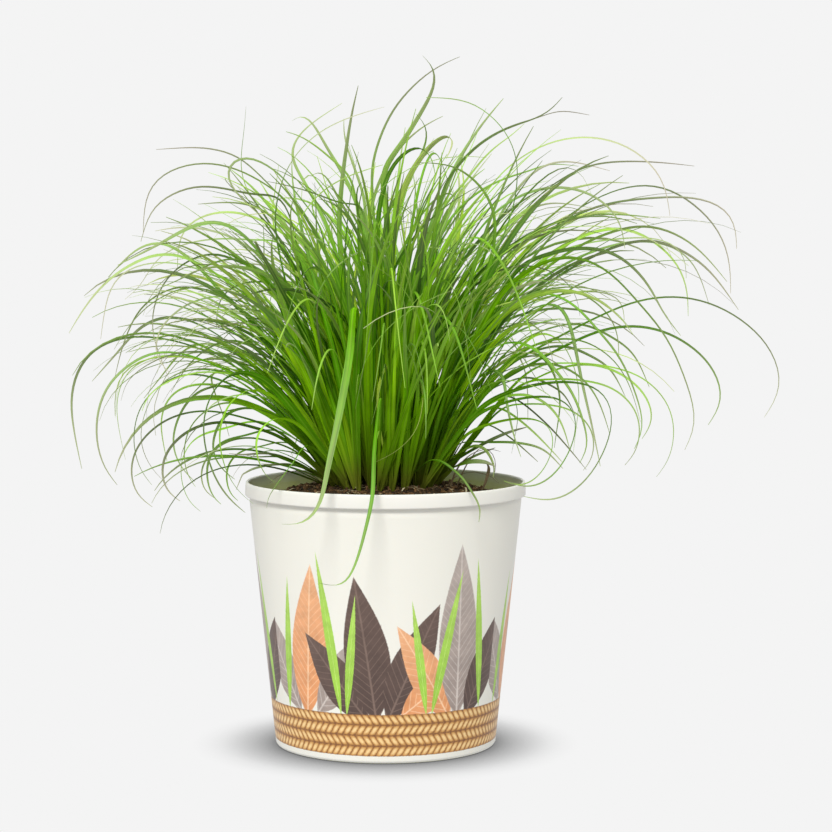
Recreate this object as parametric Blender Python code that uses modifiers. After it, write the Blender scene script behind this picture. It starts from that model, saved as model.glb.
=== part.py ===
"""A potted umbrella sedge: a tuft of arching leaves in a tapered plastic pot of 12 cm.

Metres, +Z up. The origin is the middle of the pot's base, on the surface that it stands on.
The lengths below are millimetres, and MM turns them to metres.
"""
import math

import bmesh
import bpy
from mathutils import Matrix, Vector

MM = 0.001

# Pot, a thin moulded cone with a plain band at the rim
POT_HEIGHT = 113.0
RIM_RADIUS = 60.0
RIM_BAND = 6.0
RIM_CREST_INSET = 0.85     # the rounded top edge, in from the rim's widest line
RIM_INNER_INSET = 1.4
RIM_ROUNDING = 0.9
RIM_WIDEST_DROP = 2.5      # the widest line, down from the top
GROOVE = 1.2
BODY_TOP_RADIUS = 58.3
BASE_RADIUS = 47.2
BASE_CORNER = 1.4
WALL = 1.05
FLOOR = 1.5
POT_STEPS = 44
DRAIN_HOLES = 6
DRAIN_RADIUS = 4.0
DRAIN_RING = 31.0
DRAIN_SIDES = 10

# Peat, a plug that fills the pot and is heaped round the roots
GAP = 0.3
PEAT_EDGE = 102.5
PEAT_TOP = 111.5
PEAT_SHOULDER = 3.4        # the heap is flat in the middle and falls near the wall
PEAT_RINGS = (0.0, 0.3, 0.55, 0.75, 0.89, 1.0)
PEAT_STEPS = 30

# The clump: 48 upright lanes like the spokes of a wheel, and one shoot rooted in each
LANE_COUNT = 48
RING_RADIUS = {"b": 11.0, "c": 16.5, "d": 22.0}
LANE_RINGS = "bdcbdcdbdcbdcdbdcbdcdbcd" * 2
RING_UNEVENNESS = 0.7
RING_WAVE = 2.4
CORE_RADIUS = 5.5

# One shoot: a sheath planted in the peat, which opens into three leaves, one behind another
SHEATH_WIDTH = 2.4
SHEATH_DEPTH = 3.0
SHEATH_BURIED = 8.0
SHEATH_RISE = 4.0
SOCKET_GAP = 0.35
SOCKET_HEADROOM = 12.0
LEAF_THICKNESS = 0.7
LEAF_WIDTH = 2.7
TIP_WIDTH = 0.6
TIP_THICKNESS = 0.35
TAPER = 1.7
LEAF_SCALES = (0.64, 0.84, 1.0)      # outer, middle and inner leaf against the leading one
LEAF_TURNS = (2.0, -2.2, 0.0)        # degrees round the root
LEAF_PIECES = (3, 4, 6)
RIM_CLEARANCE = 3.0
RIM_REACH_IN = 6.0                   # how far inside the wall a low leaf is already lifted
CURVE_WEIGHT = 0.55                  # how far the leaf's sections crowd where it bends
CURVE_FINENESS = 12

# Leading leaves. The first group was read as (across, height) in the upright plane through the
# pot's axis, from VIEWPOINT, and each lies in its own lane.
VIEWPOINT = Vector((13.0, -1071.0, 220.0))
LANE_LEAVES = {
    0: [(50, 195), (75, 222), (95, 231), (115, 233.5), (130, 234), (143, 231), (150, 224),
        (150.5, 212)],
    1: [(60, 158), (80, 163), (95, 162), (108, 158.5), (117, 152), (123, 143), (124.5, 132),
        (122, 121), (117, 114.5)],
    2: [(50, 195), (75, 223), (92, 234), (107, 239), (120, 238), (132, 231), (142, 221),
        (147.5, 208), (148, 193)],
    3: [(40, 195), (60, 228), (75, 241), (88, 247.5), (103, 249), (118, 248.5), (132, 247)],
    4: [(50, 165), (70, 178), (85, 180), (98, 174), (107, 167), (113.5, 153)],
    5: [(45, 215), (60, 241), (70, 248), (80, 249), (96, 245)],
    6: [(58, 170), (72, 175), (80, 165), (83.5, 150), (82, 135), (81, 125)],
    7: [(22, 225), (30, 246), (42, 258), (55, 264.5), (66, 267.5), (74, 270.5), (87, 268.5)],
    17: [(-13.4, 150), (-45, 215), (-60, 238), (-62, 250), (-60.5, 260), (-59.5, 272)],
    18: [(-50, 137), (-70, 135), (-82, 131), (-88, 122), (-88, 112), (-85, 104), (-80, 99.7)],
    19: [(-60, 165), (-80, 180), (-95, 183), (-106, 178), (-114, 169), (-126, 155.5)],
    20: [(-45, 145), (-65, 158), (-80, 161), (-92, 158), (-100, 150), (-105, 138), (-105.5, 128),
         (-101, 118), (-94, 111)],
    21: [(-22, 200), (-40, 228), (-52, 241), (-62, 250.5), (-70, 253.5), (-80, 255), (-98, 254)],
    22: [(-45, 147), (-65, 162), (-85, 171.5), (-105, 175), (-118, 173), (-127, 168), (-133, 159),
         (-135.5, 147), (-134, 133), (-131, 118)],
    23: [(-42, 122), (-52, 124.5), (-62, 124), (-68, 124.5)],
    24: [(-28, 200), (-40, 229), (-50, 238), (-62, 245), (-75, 248.5), (-88, 247), (-98, 242),
         (-103, 234), (-104, 218)],
    25: [(-45, 133), (-65, 141), (-80, 143), (-93, 140), (-103, 133), (-109, 124), (-110, 114),
         (-107, 106), (-101, 101.5)],
    26: [(-40, 165), (-55, 187), (-70, 199), (-85, 208), (-97, 210), (-108, 206), (-120, 198),
         (-130, 186), (-136, 176)],
    27: [(-35, 180), (-50, 205), (-62, 219), (-73, 224), (-85, 221), (-97, 214), (-115, 205)],
    28: [(-45, 143), (-65, 158), (-85, 167), (-100, 168), (-110, 163), (-118, 156), (-123, 147),
         (-125, 133), (-122, 119), (-116, 111)],
    29: [(-60, 160), (-80, 168), (-95, 166), (-105, 161), (-112, 155), (-114, 147)],
    30: [(-40, 143), (-52, 156), (-62, 160), (-70, 157), (-76, 149), (-79, 138), (-78, 126),
         (-74, 114), (-68, 105), (-61, 99)],
    42: [(40, 143), (60, 153), (78, 155.5), (90, 153.5), (97, 147), (98, 136), (93, 122),
         (86, 112), (78, 106), (70, 104), (60, 106)],
    43: [(45, 185), (65, 205), (82, 209), (97, 202), (108, 190), (122, 173), (133, 145),
         (134, 135), (129, 126)],
    44: [(45, 155), (62, 170), (78, 174), (90, 171), (100, 163), (106, 152), (110, 138)],
    45: [(30, 205), (45, 238), (60, 252), (75, 258.5), (90, 259.5), (103, 256), (113, 249),
         (120, 240), (122, 226)],
    46: [(35, 140), (50, 160), (70, 172), (90, 182.5), (108, 190), (125, 192), (140, 189),
         (153, 182), (163, 173), (169, 162), (170, 151), (163, 140)],
    47: [(38, 140), (50, 149), (58, 147), (70, 137), (80, 126), (87, 117.5)],
}

# These were read the same way, and lean out of their lane. The first number is how far to the
# back (+) or the front (-) the tip lies. The second is how soon the leaf gets there: 1 is evenly
# along it, and less is early.
LEANING_LEAVES = {
    14: (64, 1.0, [(-20, 205), (-28, 228), (-35, 241), (-40, 250), (-39, 257), (-33, 264),
                   (-18.5, 273.5)]),
    31: (-60, 0.75, [(-35, 170), (-47, 215), (-47, 232), (-43, 245), (-37, 254), (-28, 262),
                     (-15, 268), (-1, 272)]),
    33: (-80, 0.5, [(-13, 188), (-14.5, 165), (-17.5, 140), (-24, 112), (-29, 102), (-37, 93),
                    (-52, 94)]),
    34: (-62, 1.0, [(-4, 210), (-1, 238), (5, 250), (13, 255.5), (19, 252), (21, 243)]),
    35: (-86, 0.36, [(-2, 150), (-5, 125), (-5.6, 106.5), (-8.6, 92.5), (-12.6, 78), (-18.4, 67),
                    (-28.7, 68.5)]),
    38: (-80, 1.0, [(3, 205), (6, 232), (14, 249), (22, 258), (27, 260), (29.5, 257), (26, 250)]),
    41: (-78, 0.4, [(50, 215), (56, 235), (57, 248), (53, 260), (45, 269), (35, 275), (18, 276)]),
}

# The five shoots in the middle of the clump, by their direction from the axis in degrees
CORE_LEAVES = {
    20: (15, 1.0, [(15, 200), (26, 236), (34, 253), (43, 266), (51, 275.5)]),
    92: (28, 1.0, [(-6, 200), (-10, 225), (-17, 242), (-25, 255), (-31, 266), (-36, 269.7),
                   (-39.5, 266)]),
    164: (-14, 1.4, [(-5, 200), (-6.5, 235), (-7, 246), (-3, 260), (3, 272), (12, 282), (21, 289),
                     (30.5, 293)]),
    236: (-42, 1.4, [(-15, 170), (-20, 215), (-19.5, 235), (-17.5, 252), (-15, 268), (-12, 281)]),
    308: (-54, 1.0, [(2, 215), (-1, 243), (6, 254), (13, 265), (19, 275), (22, 282), (21.5, 289),
                     (16.5, 293.5)]),
}

# Leaves that arch straight to the back or the front: reach from the axis, crown height, tip height.
# ARCH_SHAPE gives each point's share of the run outward and of the rise to the crown.
ARCH_SHAPE = ((0.12, 0.5), (0.32, 0.86), (0.56, 1.0), (0.8, 0.86))
ARCHED_LEAVES = {
    8: (120, 190, 150),
    9: (138, 222, 185),
    10: (112, 256, 232),
    11: (105, 170, 122),
    12: (142, 226, 170),
    13: (118, 182, 128),
    15: (98, 160, 112),
    16: (135, 215, 160),
    32: (96, 206, 168),
    36: (132, 224, 170),
    37: (84, 196, 158),
    39: (78, 186, 148),
    40: (112, 218, 172),
}

# Colours are linear, and each name is followed by its roughness
FINISHES = {
    "cream_plastic": ((0.88, 0.86, 0.76, 1.0), 0.42),
    "peat": ((0.035, 0.020, 0.012, 1.0), 0.95),
    "fresh_leaf": ((0.105, 0.300, 0.008, 1.0), 0.45),
    "deep_leaf": ((0.050, 0.170, 0.008, 1.0), 0.45),
    "pale_leaf": ((0.210, 0.330, 0.070, 1.0), 0.50),
}
LEAF_GREENS = ("fresh_leaf", "deep_leaf", "fresh_leaf", "pale_leaf")


def clear_scene():
    for old in list(bpy.data.objects):
        bpy.data.objects.remove(old, do_unlink=True)


def finish(name):
    colour, roughness = FINISHES[name]
    material = bpy.data.materials.get(name) or bpy.data.materials.new(name)
    material.use_nodes = True
    shader = material.node_tree.nodes["Principled BSDF"]
    shader.inputs["Base Color"].default_value = colour
    shader.inputs["Roughness"].default_value = roughness
    shader.inputs["Metallic"].default_value = 0.0
    return material


def add_object(name, mesh, collection, material_name=None):
    piece = bpy.data.objects.new(name, mesh)
    collection.objects.link(piece)
    if material_name:
        mesh.materials.append(finish(material_name))
    return piece


def turned(name, profile, steps, collection, material_name):
    """A solid turned round Z from (radius, height) points, both ends on the axis."""
    mesh = bpy.data.meshes.new(name)
    points = [(radius * MM, 0.0, height * MM) for radius, height in profile]
    mesh.from_pydata(points, [(i, i + 1) for i in range(len(points) - 1)], [])
    piece = add_object(name, mesh, collection, material_name)
    screw = piece.modifiers.new("Turn", "SCREW")
    screw.axis = "Z"
    screw.angle = math.tau
    screw.steps = steps
    screw.render_steps = steps
    screw.use_merge_vertices = True
    screw.merge_threshold = 0.00001
    screw.use_smooth_shade = True
    return piece


def as_cutter(piece):
    piece.hide_render = True
    piece.display_type = "WIRE"


def cut(piece, cutter):
    boolean = piece.modifiers.new("Cut", "BOOLEAN")
    boolean.operation = "DIFFERENCE"
    boolean.solver = "EXACT"
    boolean.object = cutter


def wall_radius(height):
    """Outer radius of the pot's tapered body at a height."""
    body_height = POT_HEIGHT - RIM_BAND - GROOVE
    return BASE_RADIUS + (BODY_TOP_RADIUS - BASE_RADIUS) * height / body_height


def pot_profile():
    band_bottom = POT_HEIGHT - RIM_BAND
    body_top = band_bottom - GROOVE
    inside = [
        (0.0, FLOOR),
        (wall_radius(FLOOR) - WALL - BASE_CORNER, FLOOR),
        (wall_radius(FLOOR + BASE_CORNER) - WALL, FLOOR + BASE_CORNER),
        (BODY_TOP_RADIUS - WALL, body_top),
        (RIM_RADIUS - RIM_INNER_INSET, POT_HEIGHT - RIM_ROUNDING),
    ]
    outside = [
        (RIM_RADIUS - RIM_CREST_INSET, POT_HEIGHT),
        (RIM_RADIUS - RIM_CREST_INSET / 3, POT_HEIGHT - RIM_ROUNDING / 2),
        (RIM_RADIUS, POT_HEIGHT - RIM_WIDEST_DROP),
        (RIM_RADIUS, band_bottom + RIM_ROUNDING / 2),
        (RIM_RADIUS - RIM_ROUNDING / 2, band_bottom),
        (BODY_TOP_RADIUS, body_top),
        (wall_radius(BASE_CORNER), BASE_CORNER),
        (BASE_RADIUS - BASE_CORNER, 0.0),
        (0.0, 0.0),
    ]
    return inside + outside


def build_pot(collection, cutters):
    pot = turned("pot", pot_profile(), POT_STEPS, collection, "cream_plastic")
    bm = bmesh.new()
    for i in range(DRAIN_HOLES):
        spot = Matrix.Rotation(math.tau * i / DRAIN_HOLES, 4, "Z") @ Vector((DRAIN_RING * MM, 0, 0))
        bmesh.ops.create_cone(
            bm, cap_ends=True, segments=DRAIN_SIDES, radius1=DRAIN_RADIUS * MM,
            radius2=DRAIN_RADIUS * MM, depth=4 * FLOOR * MM, matrix=Matrix.Translation(spot))
    mesh = bpy.data.meshes.new("drain_holes")
    bm.to_mesh(mesh)
    bm.free()
    holes = add_object("drain_holes", mesh, cutters)
    as_cutter(holes)
    cut(pot, holes)
    return pot


def peat_height(radius):
    """Height of the heaped peat at a distance from the axis."""
    share = min(radius / (wall_radius(PEAT_EDGE) - WALL - GAP), 1.0)
    return PEAT_TOP - (PEAT_TOP - PEAT_EDGE) * share ** PEAT_SHOULDER


def build_peat(collection, sockets):
    fit = WALL + GAP
    edge = wall_radius(PEAT_EDGE) - fit
    top = [(edge * share, peat_height(edge * share)) for share in PEAT_RINGS]
    low = FLOOR + GAP
    bottom = [
        (wall_radius(low + BASE_CORNER) - fit, low + BASE_CORNER),
        (wall_radius(low) - fit - BASE_CORNER, low),
        (0.0, low),
    ]
    peat = turned("peat", top + bottom, PEAT_STEPS, collection, "peat")
    cut(peat, sockets)
    return peat


def lane_angle(lane):
    return math.tau * lane / LANE_COUNT


def lane_root(lane):
    radius = RING_RADIUS[LANE_RINGS[lane]] + RING_UNEVENNESS * math.sin(RING_WAVE * lane)
    angle = lane_angle(lane)
    return Vector((radius * math.cos(angle), radius * math.sin(angle), peat_height(radius)))


def core_root(degrees):
    angle = math.radians(degrees)
    return Vector((CORE_RADIUS * math.cos(angle), CORE_RADIUS * math.sin(angle), PEAT_TOP))


def onto_lane(across, height, angle):
    """The point of a lane's upright plane that VIEWPOINT sees at (across, height) of plane y = 0."""
    distance = -VIEWPOINT.y
    top = distance * math.cos(angle) + VIEWPOINT.x * math.sin(angle)
    bottom = distance * math.cos(angle) - (across - VIEWPOINT.x) * math.sin(angle)
    return VIEWPOINT + (Vector((across, 0.0, height)) - VIEWPOINT) * (top / bottom)


def at_depth(across, height, depth):
    """The point at y = depth that VIEWPOINT sees at (across, height) of plane y = 0."""
    share = (depth - VIEWPOINT.y) / -VIEWPOINT.y
    return VIEWPOINT + (Vector((across, 0.0, height)) - VIEWPOINT) * share


def lane_path(lane):
    angle = lane_angle(lane)
    return [lane_root(lane)] + [onto_lane(x, z, angle) for x, z in LANE_LEAVES[lane]]


def leaning_path(root, tip_depth, ease, seen):
    count = len(seen)
    points = [root]
    for i, (across, height) in enumerate(seen):
        share = ((i + 1) / count) ** ease
        points.append(at_depth(across, height, root.y + (tip_depth - root.y) * share))
    return points


def arched_path(lane, reach, crown, tip):
    """A leaf that rises steeply, arches over at the crown and hangs to its tip."""
    root = lane_root(lane)
    outward = Vector((math.cos(lane_angle(lane)), math.sin(lane_angle(lane)), 0.0))
    run = reach - root.xy.length
    rise = crown - root.z
    points = [root]
    for share, lift in ARCH_SHAPE:
        points.append(root + outward * run * share + Vector((0, 0, rise * lift)))
    points.append(root + outward * run + Vector((0, 0, tip - root.z)))
    return points


def smooth_point(points, place):
    """A point of the smooth curve through the given ones, place counting in points."""
    i = min(int(place), len(points) - 2)
    t = place - i
    before = points[max(i - 1, 0)]
    start = points[i]
    end = points[i + 1]
    after = points[min(i + 2, len(points) - 1)]
    first = (end - before) * 0.5
    last = (after - start) * 0.5
    bend = start * 2 - end * 2 + first + last
    return start + first * t + (end * 3 - start * 3 - first * 2 - last) * t ** 2 + bend * t ** 3


def spaced(points, pieces):
    """Sections along the curve, closer together where it bends."""
    count = (len(points) - 1) * CURVE_FINENESS
    curve = [smooth_point(points, i / CURVE_FINENESS) for i in range(count + 1)]
    length = sum((b - a).length for a, b in zip(curve, curve[1:]))
    measure = [0.0]
    for i in range(1, len(curve)):
        step = curve[i] - curve[i - 1]
        turn = 0.0
        if i > 1:
            turn = step.angle(curve[i - 1] - curve[i - 2], 0.0)
        measure.append(measure[-1] + step.length / length + CURVE_WEIGHT * turn / math.pi)
    sections = []
    at = 0
    for i in range(pieces + 1):
        goal = measure[-1] * i / pieces
        while at < len(measure) - 2 and measure[at + 1] < goal:
            at += 1
        share = (goal - measure[at]) / (measure[at + 1] - measure[at])
        sections.append(curve[at].lerp(curve[at + 1], min(share, 1.0)))
    return sections


def above_rim(point):
    """Leaves that come down on the pot lie over its rim."""
    radius = point.xy.length
    near = wall_radius(PEAT_EDGE) - RIM_REACH_IN < radius < RIM_RADIUS + RIM_CLEARANCE
    low = point.z < POT_HEIGHT + RIM_CLEARANCE
    if near and low:
        return Vector((point.x, point.y, POT_HEIGHT + RIM_CLEARANCE))
    return point


def leaf_sections(path, outward, which):
    """Centres of one leaf's sections, a scaled copy of the leading leaf about the root."""
    root = path[0]
    shift = outward * (1 - which) * SHEATH_DEPTH / 3
    turn = Matrix.Rotation(math.radians(LEAF_TURNS[which]), 3, "Z")
    own = [root + turn @ ((point - root) * LEAF_SCALES[which]) for point in path]
    mouth = own[0] + Vector((0, 0, SHEATH_RISE))
    rest = [point for point in own[1:] if point.z > mouth.z or point.xy.length > RIM_RADIUS]
    centres = spaced([mouth] + rest, LEAF_PIECES[which])
    return [above_rim(centre) + shift for centre in centres]


def grow_leaf(bm, face, centres, across):
    """Extrudes one slice of the sheath's mouth along the leaf."""
    count = len(centres) - 1
    heading = centres[-1] - centres[count // 2]
    side_end = Vector((-heading.y, heading.x, 0.0)).normalized()
    if side_end.dot(across) < 0:
        side_end.negate()
    middle = centres[0] * MM
    inward = across.cross(Vector((0, 0, 1)))
    marks = []
    for vert in face.verts:
        offset = vert.co - middle
        marks.append((math.copysign(1, offset.dot(across)), math.copysign(1, offset.dot(inward))))
    for i in range(1, count + 1):
        share = i / count
        if i < count:
            tangent = (centres[i + 1] - centres[i - 1]).normalized()
        else:
            tangent = (centres[i] - centres[i - 1]).normalized()
        side = across.lerp(side_end, share)
        side = (side - tangent * side.dot(tangent)).normalized()
        up = side.cross(tangent).normalized()
        taper = 1 - share ** TAPER
        width = TIP_WIDTH + (LEAF_WIDTH - TIP_WIDTH) * taper
        thick = TIP_THICKNESS + (LEAF_THICKNESS - TIP_THICKNESS) * taper
        face = bmesh.ops.extrude_discrete_faces(bm, faces=[face])["faces"][0]
        for vert, (left, top) in zip(face.verts, marks):
            vert.co = (centres[i] + side * left * width / 2 + up * top * thick / 2) * MM


def build_shoot(name, path, angle, collection, material_name):
    """A sheath with its foot in the peat, and three leaves that leave its mouth."""
    root = path[0]
    outward = Vector((math.cos(angle), math.sin(angle), 0.0))
    across = Vector((-outward.y, outward.x, 0.0))
    height = SHEATH_BURIED + SHEATH_RISE
    centre = root + Vector((0, 0, (SHEATH_RISE - SHEATH_BURIED) / 2))
    bm = bmesh.new()
    bmesh.ops.create_cube(bm, size=1.0)
    bmesh.ops.scale(bm, vec=(SHEATH_DEPTH * MM, SHEATH_WIDTH * MM, height * MM), verts=bm.verts)
    for cut_at in (-SHEATH_DEPTH / 6, SHEATH_DEPTH / 6):
        bmesh.ops.bisect_plane(
            bm, geom=bm.verts[:] + bm.edges[:] + bm.faces[:], plane_co=(cut_at * MM, 0, 0),
            plane_no=(1, 0, 0))
    place = Matrix.Translation(centre * MM) @ Matrix.Rotation(angle, 4, "Z")
    bmesh.ops.transform(bm, matrix=place, verts=bm.verts)
    mouth = [face for face in bm.faces if face.normal.z > 0.9]
    mouth.sort(key=lambda face: -face.calc_center_median().dot(outward))
    for which, face in enumerate(mouth):
        grow_leaf(bm, face, leaf_sections(path, outward, which), across)
    bmesh.ops.recalc_face_normals(bm, faces=bm.faces)
    mesh = bpy.data.meshes.new(name)
    bm.to_mesh(mesh)
    bm.free()
    return add_object(name, mesh, collection, material_name)


def build_sockets(roots, cutters):
    """The holes in the peat that the sheaths stand in."""
    bm = bmesh.new()
    depth = SHEATH_BURIED + SOCKET_GAP
    size = Vector((SHEATH_DEPTH + 2 * SOCKET_GAP, SHEATH_WIDTH + 2 * SOCKET_GAP,
                   depth + SOCKET_HEADROOM))
    for root, angle in roots:
        block = bmesh.ops.create_cube(bm, size=1.0)["verts"]
        bmesh.ops.scale(bm, vec=size * MM, verts=block)
        centre = (root + Vector((0, 0, (SOCKET_HEADROOM - depth) / 2))) * MM
        place = Matrix.Translation(centre) @ Matrix.Rotation(angle, 4, "Z")
        bmesh.ops.transform(bm, matrix=place, verts=block)
    mesh = bpy.data.meshes.new("sockets")
    bm.to_mesh(mesh)
    bm.free()
    sockets = add_object("sockets", mesh, cutters)
    as_cutter(sockets)
    return sockets


def all_paths():
    """(path of the leading leaf, direction of the sheath) for every shoot, lanes first."""
    shoots = []
    for lane in range(LANE_COUNT):
        if lane in LANE_LEAVES:
            path = lane_path(lane)
        elif lane in LEANING_LEAVES:
            path = leaning_path(lane_root(lane), *LEANING_LEAVES[lane])
        else:
            path = arched_path(lane, *ARCHED_LEAVES[lane])
        shoots.append((path, lane_angle(lane)))
    for degrees, leaf in CORE_LEAVES.items():
        path = leaning_path(core_root(degrees), *leaf)
        shoots.append((path, math.radians(degrees)))
    return shoots


def main():
    clear_scene()
    plant = bpy.data.collections.new("potted_umbrella_sedge")
    cutters = bpy.data.collections.new("cutters")
    bpy.context.scene.collection.children.link(plant)
    bpy.context.scene.collection.children.link(cutters)
    shoots = all_paths()
    build_pot(plant, cutters)
    sockets = build_sockets([(path[0], angle) for path, angle in shoots], cutters)
    build_peat(plant, sockets)
    for i, (path, angle) in enumerate(shoots):
        build_shoot(f"shoot_{i + 1:02d}", path, angle, plant, LEAF_GREENS[i % len(LEAF_GREENS)])


main()
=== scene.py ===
# Potted umbrella sedge: the looks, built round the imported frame.
# Lengths in the dictionaries are millimetres; mm turns them to metres.
import math
from functools import partial

import bpy
import numpy as np
from mathutils import Matrix, Vector, noise


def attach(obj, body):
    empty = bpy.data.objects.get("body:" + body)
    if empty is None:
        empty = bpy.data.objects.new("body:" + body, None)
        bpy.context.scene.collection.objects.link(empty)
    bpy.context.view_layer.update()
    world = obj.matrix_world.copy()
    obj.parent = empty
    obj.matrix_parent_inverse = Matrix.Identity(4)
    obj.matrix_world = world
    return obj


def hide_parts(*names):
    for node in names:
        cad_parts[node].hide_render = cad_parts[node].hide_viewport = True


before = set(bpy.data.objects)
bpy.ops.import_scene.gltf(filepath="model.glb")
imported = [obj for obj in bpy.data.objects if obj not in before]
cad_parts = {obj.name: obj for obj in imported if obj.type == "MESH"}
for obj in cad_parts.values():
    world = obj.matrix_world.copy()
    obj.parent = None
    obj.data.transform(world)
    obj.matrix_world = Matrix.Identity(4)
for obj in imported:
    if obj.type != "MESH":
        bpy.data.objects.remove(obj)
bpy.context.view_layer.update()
print("frame loaded:", len(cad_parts), "nodes")

mm = 0.001
rng = np.random.default_rng(20)


# Colours and nodes

def hexColour(text):
    # sRGB hex to the linear values that Blender's sockets take
    channels = [int(text[i:i + 2], 16) / 255 for i in (1, 3, 5)]
    linear = [c / 12.92 if c <= 0.04045 else ((c + 0.055) / 1.055) ** 2.4 for c in channels]
    return (*linear, 1.0)


def colourOf(value):
    # a hex colour or a grey level, as a socket takes it
    return hexColour(value) if isinstance(value, str) else (value, value, value, 1.0)


def addNode(tree, kind, values=None):
    # kind is the node's, and after a space its operation or what it mixes. The values are the node's
    # own or its sockets', by name or number. A socket among them is linked, and so is a node's first
    # output. Stops are a colour ramp's (place, colour) pairs.
    kind, _, mode = kind.partition(" ")
    node = tree.nodes.new("ShaderNode" + kind)
    if mode:
        setattr(node, "data_type" if kind == "Mix" else "operation", mode)
    for key, value in (values or {}).items():
        if isinstance(value, bpy.types.Node):
            value = value.outputs[0]
        if isinstance(value, str) and value.startswith("#"):
            value = hexColour(value)
        if key == "stops":
            elements = node.color_ramp.elements
            elements.remove(elements[1])
            for i, (place, colour) in enumerate(value):
                stop = elements.new(place) if i else elements[0]
                stop.position, stop.color = place, colourOf(colour)
        elif isinstance(value, bpy.types.NodeSocket):
            tree.links.new(value, node.inputs[key])
        elif isinstance(key, int) or key in node.inputs:
            node.inputs[key].default_value = value
        else:
            setattr(node, key, value)
    return node


def newMaterial(name):
    material = bpy.data.materials.new(name)
    material.use_nodes = True
    material.node_tree.nodes.clear()
    return material, partial(addNode, material.node_tree)


# Meshes and curves

def newObject(name, data):
    obj = bpy.data.objects.new(name, data)
    bpy.context.scene.collection.objects.link(obj)
    return obj


def meshObject(name, points, faces, material=None, smooth=True):
    mesh = bpy.data.meshes.new(name)
    mesh.from_pydata(points, [], faces)
    if material:
        mesh.materials.append(material)
    if smooth:
        mesh.shade_smooth()
    return newObject(name, mesh)


def addFloats(mesh, name, values):
    layer = mesh.attributes.new(name, "FLOAT", "POINT")
    layer.data.foreach_set("value", np.asarray(values, np.float32))


def polar(radius, angle):
    return radius * math.cos(angle), radius * math.sin(angle)


def ringFaces(rings, steps):
    # faces of a closed turned mesh: that many rings of points, between two points on the axis
    faces = []
    last = 1 + rings * steps
    for i in range(steps):
        j = (i + 1) % steps
        faces.append((0, 1 + i, 1 + j))
        for low in range(1, last - steps, steps):
            faces.append((low + i, low + steps + i, low + steps + j, low + j))
        faces.append((last - steps + i, last, last - steps + j))
    return faces


def smoothCurve(points, count):
    # evenly spaced places along the smooth curve through the points
    given = np.array(points, float)
    padded = np.vstack([given[:1], given, given[-1:]])
    pieces = []
    t = np.linspace(0, 1, 12, endpoint=False)[:, None]
    for i in range(len(given) - 1):
        before, start, end, after = padded[i:i + 4]
        first = (end - before) * 0.5
        last = (after - start) * 0.5
        bend = start * 2 - end * 2 + first + last
        pieces.append(start + first * t + (end * 3 - start * 3 - first * 2 - last) * t ** 2
                      + bend * t ** 3)
    pieces.append(given[-1:])
    dense = np.vstack(pieces)
    steps = np.linalg.norm(np.diff(dense, axis=0), axis=1)
    along = np.concatenate([[0.0], np.cumsum(steps)])
    places = np.linspace(0.0, along[-1], count)
    return np.stack([np.interp(places, along, dense[:, k]) for k in range(3)], axis=1)


def eased(curve, rounds=6):
    # rounds the corners that the given points leave
    for _ in range(rounds):
        curve[1:-1] = (curve[:-2] + 2 * curve[1:-1] + curve[2:]) / 4
    return curve


def unit(vectors):
    return vectors / np.maximum(np.linalg.norm(vectors, axis=-1, keepdims=True), 1e-9)


# Camera and room: the photograph's own place and angle, and an even white studio

studio = {
    "cameraPlace": (13.05, -1070.8, 220.0),
    "cameraPitch": -4.24,          # degrees, below the horizon
    "lens": 108.65,                # on a 36 mm sensor
    "backdrop": "#F4F4F4",
    "paperSize": 24000,
    "paperDrop": 0.2,              # the paper lies this far under the pot's foot
    "shadowReach": 36,
    # how bright the paper is where it is shut in (0) and where it is open, up to the backdrop
    "shadowTones": ((0.0, 0.1), (0.5, 0.26), (0.8, 0.68), (0.9, 0.84)),
    "floorGlow": 0.75,
    "skyTop": 1.0,
    "skySide": 0.74,
    "skyBelow": 0.68,
    "sunStrength": 2.5,
    "sunSoftness": 20,             # degrees across
    "sunTurn": (42, 0, -14),       # tilt from straight down, and to the left of the camera
}


def showToCamera(add, others, seen, output):
    # the camera sees one shader, and every other ray meets the other
    path = add("LightPath")
    both = add("MixShader", {0: path.outputs["Is Camera Ray"], 1: others, 2: seen})
    add(output, {"Surface": both})


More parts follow.
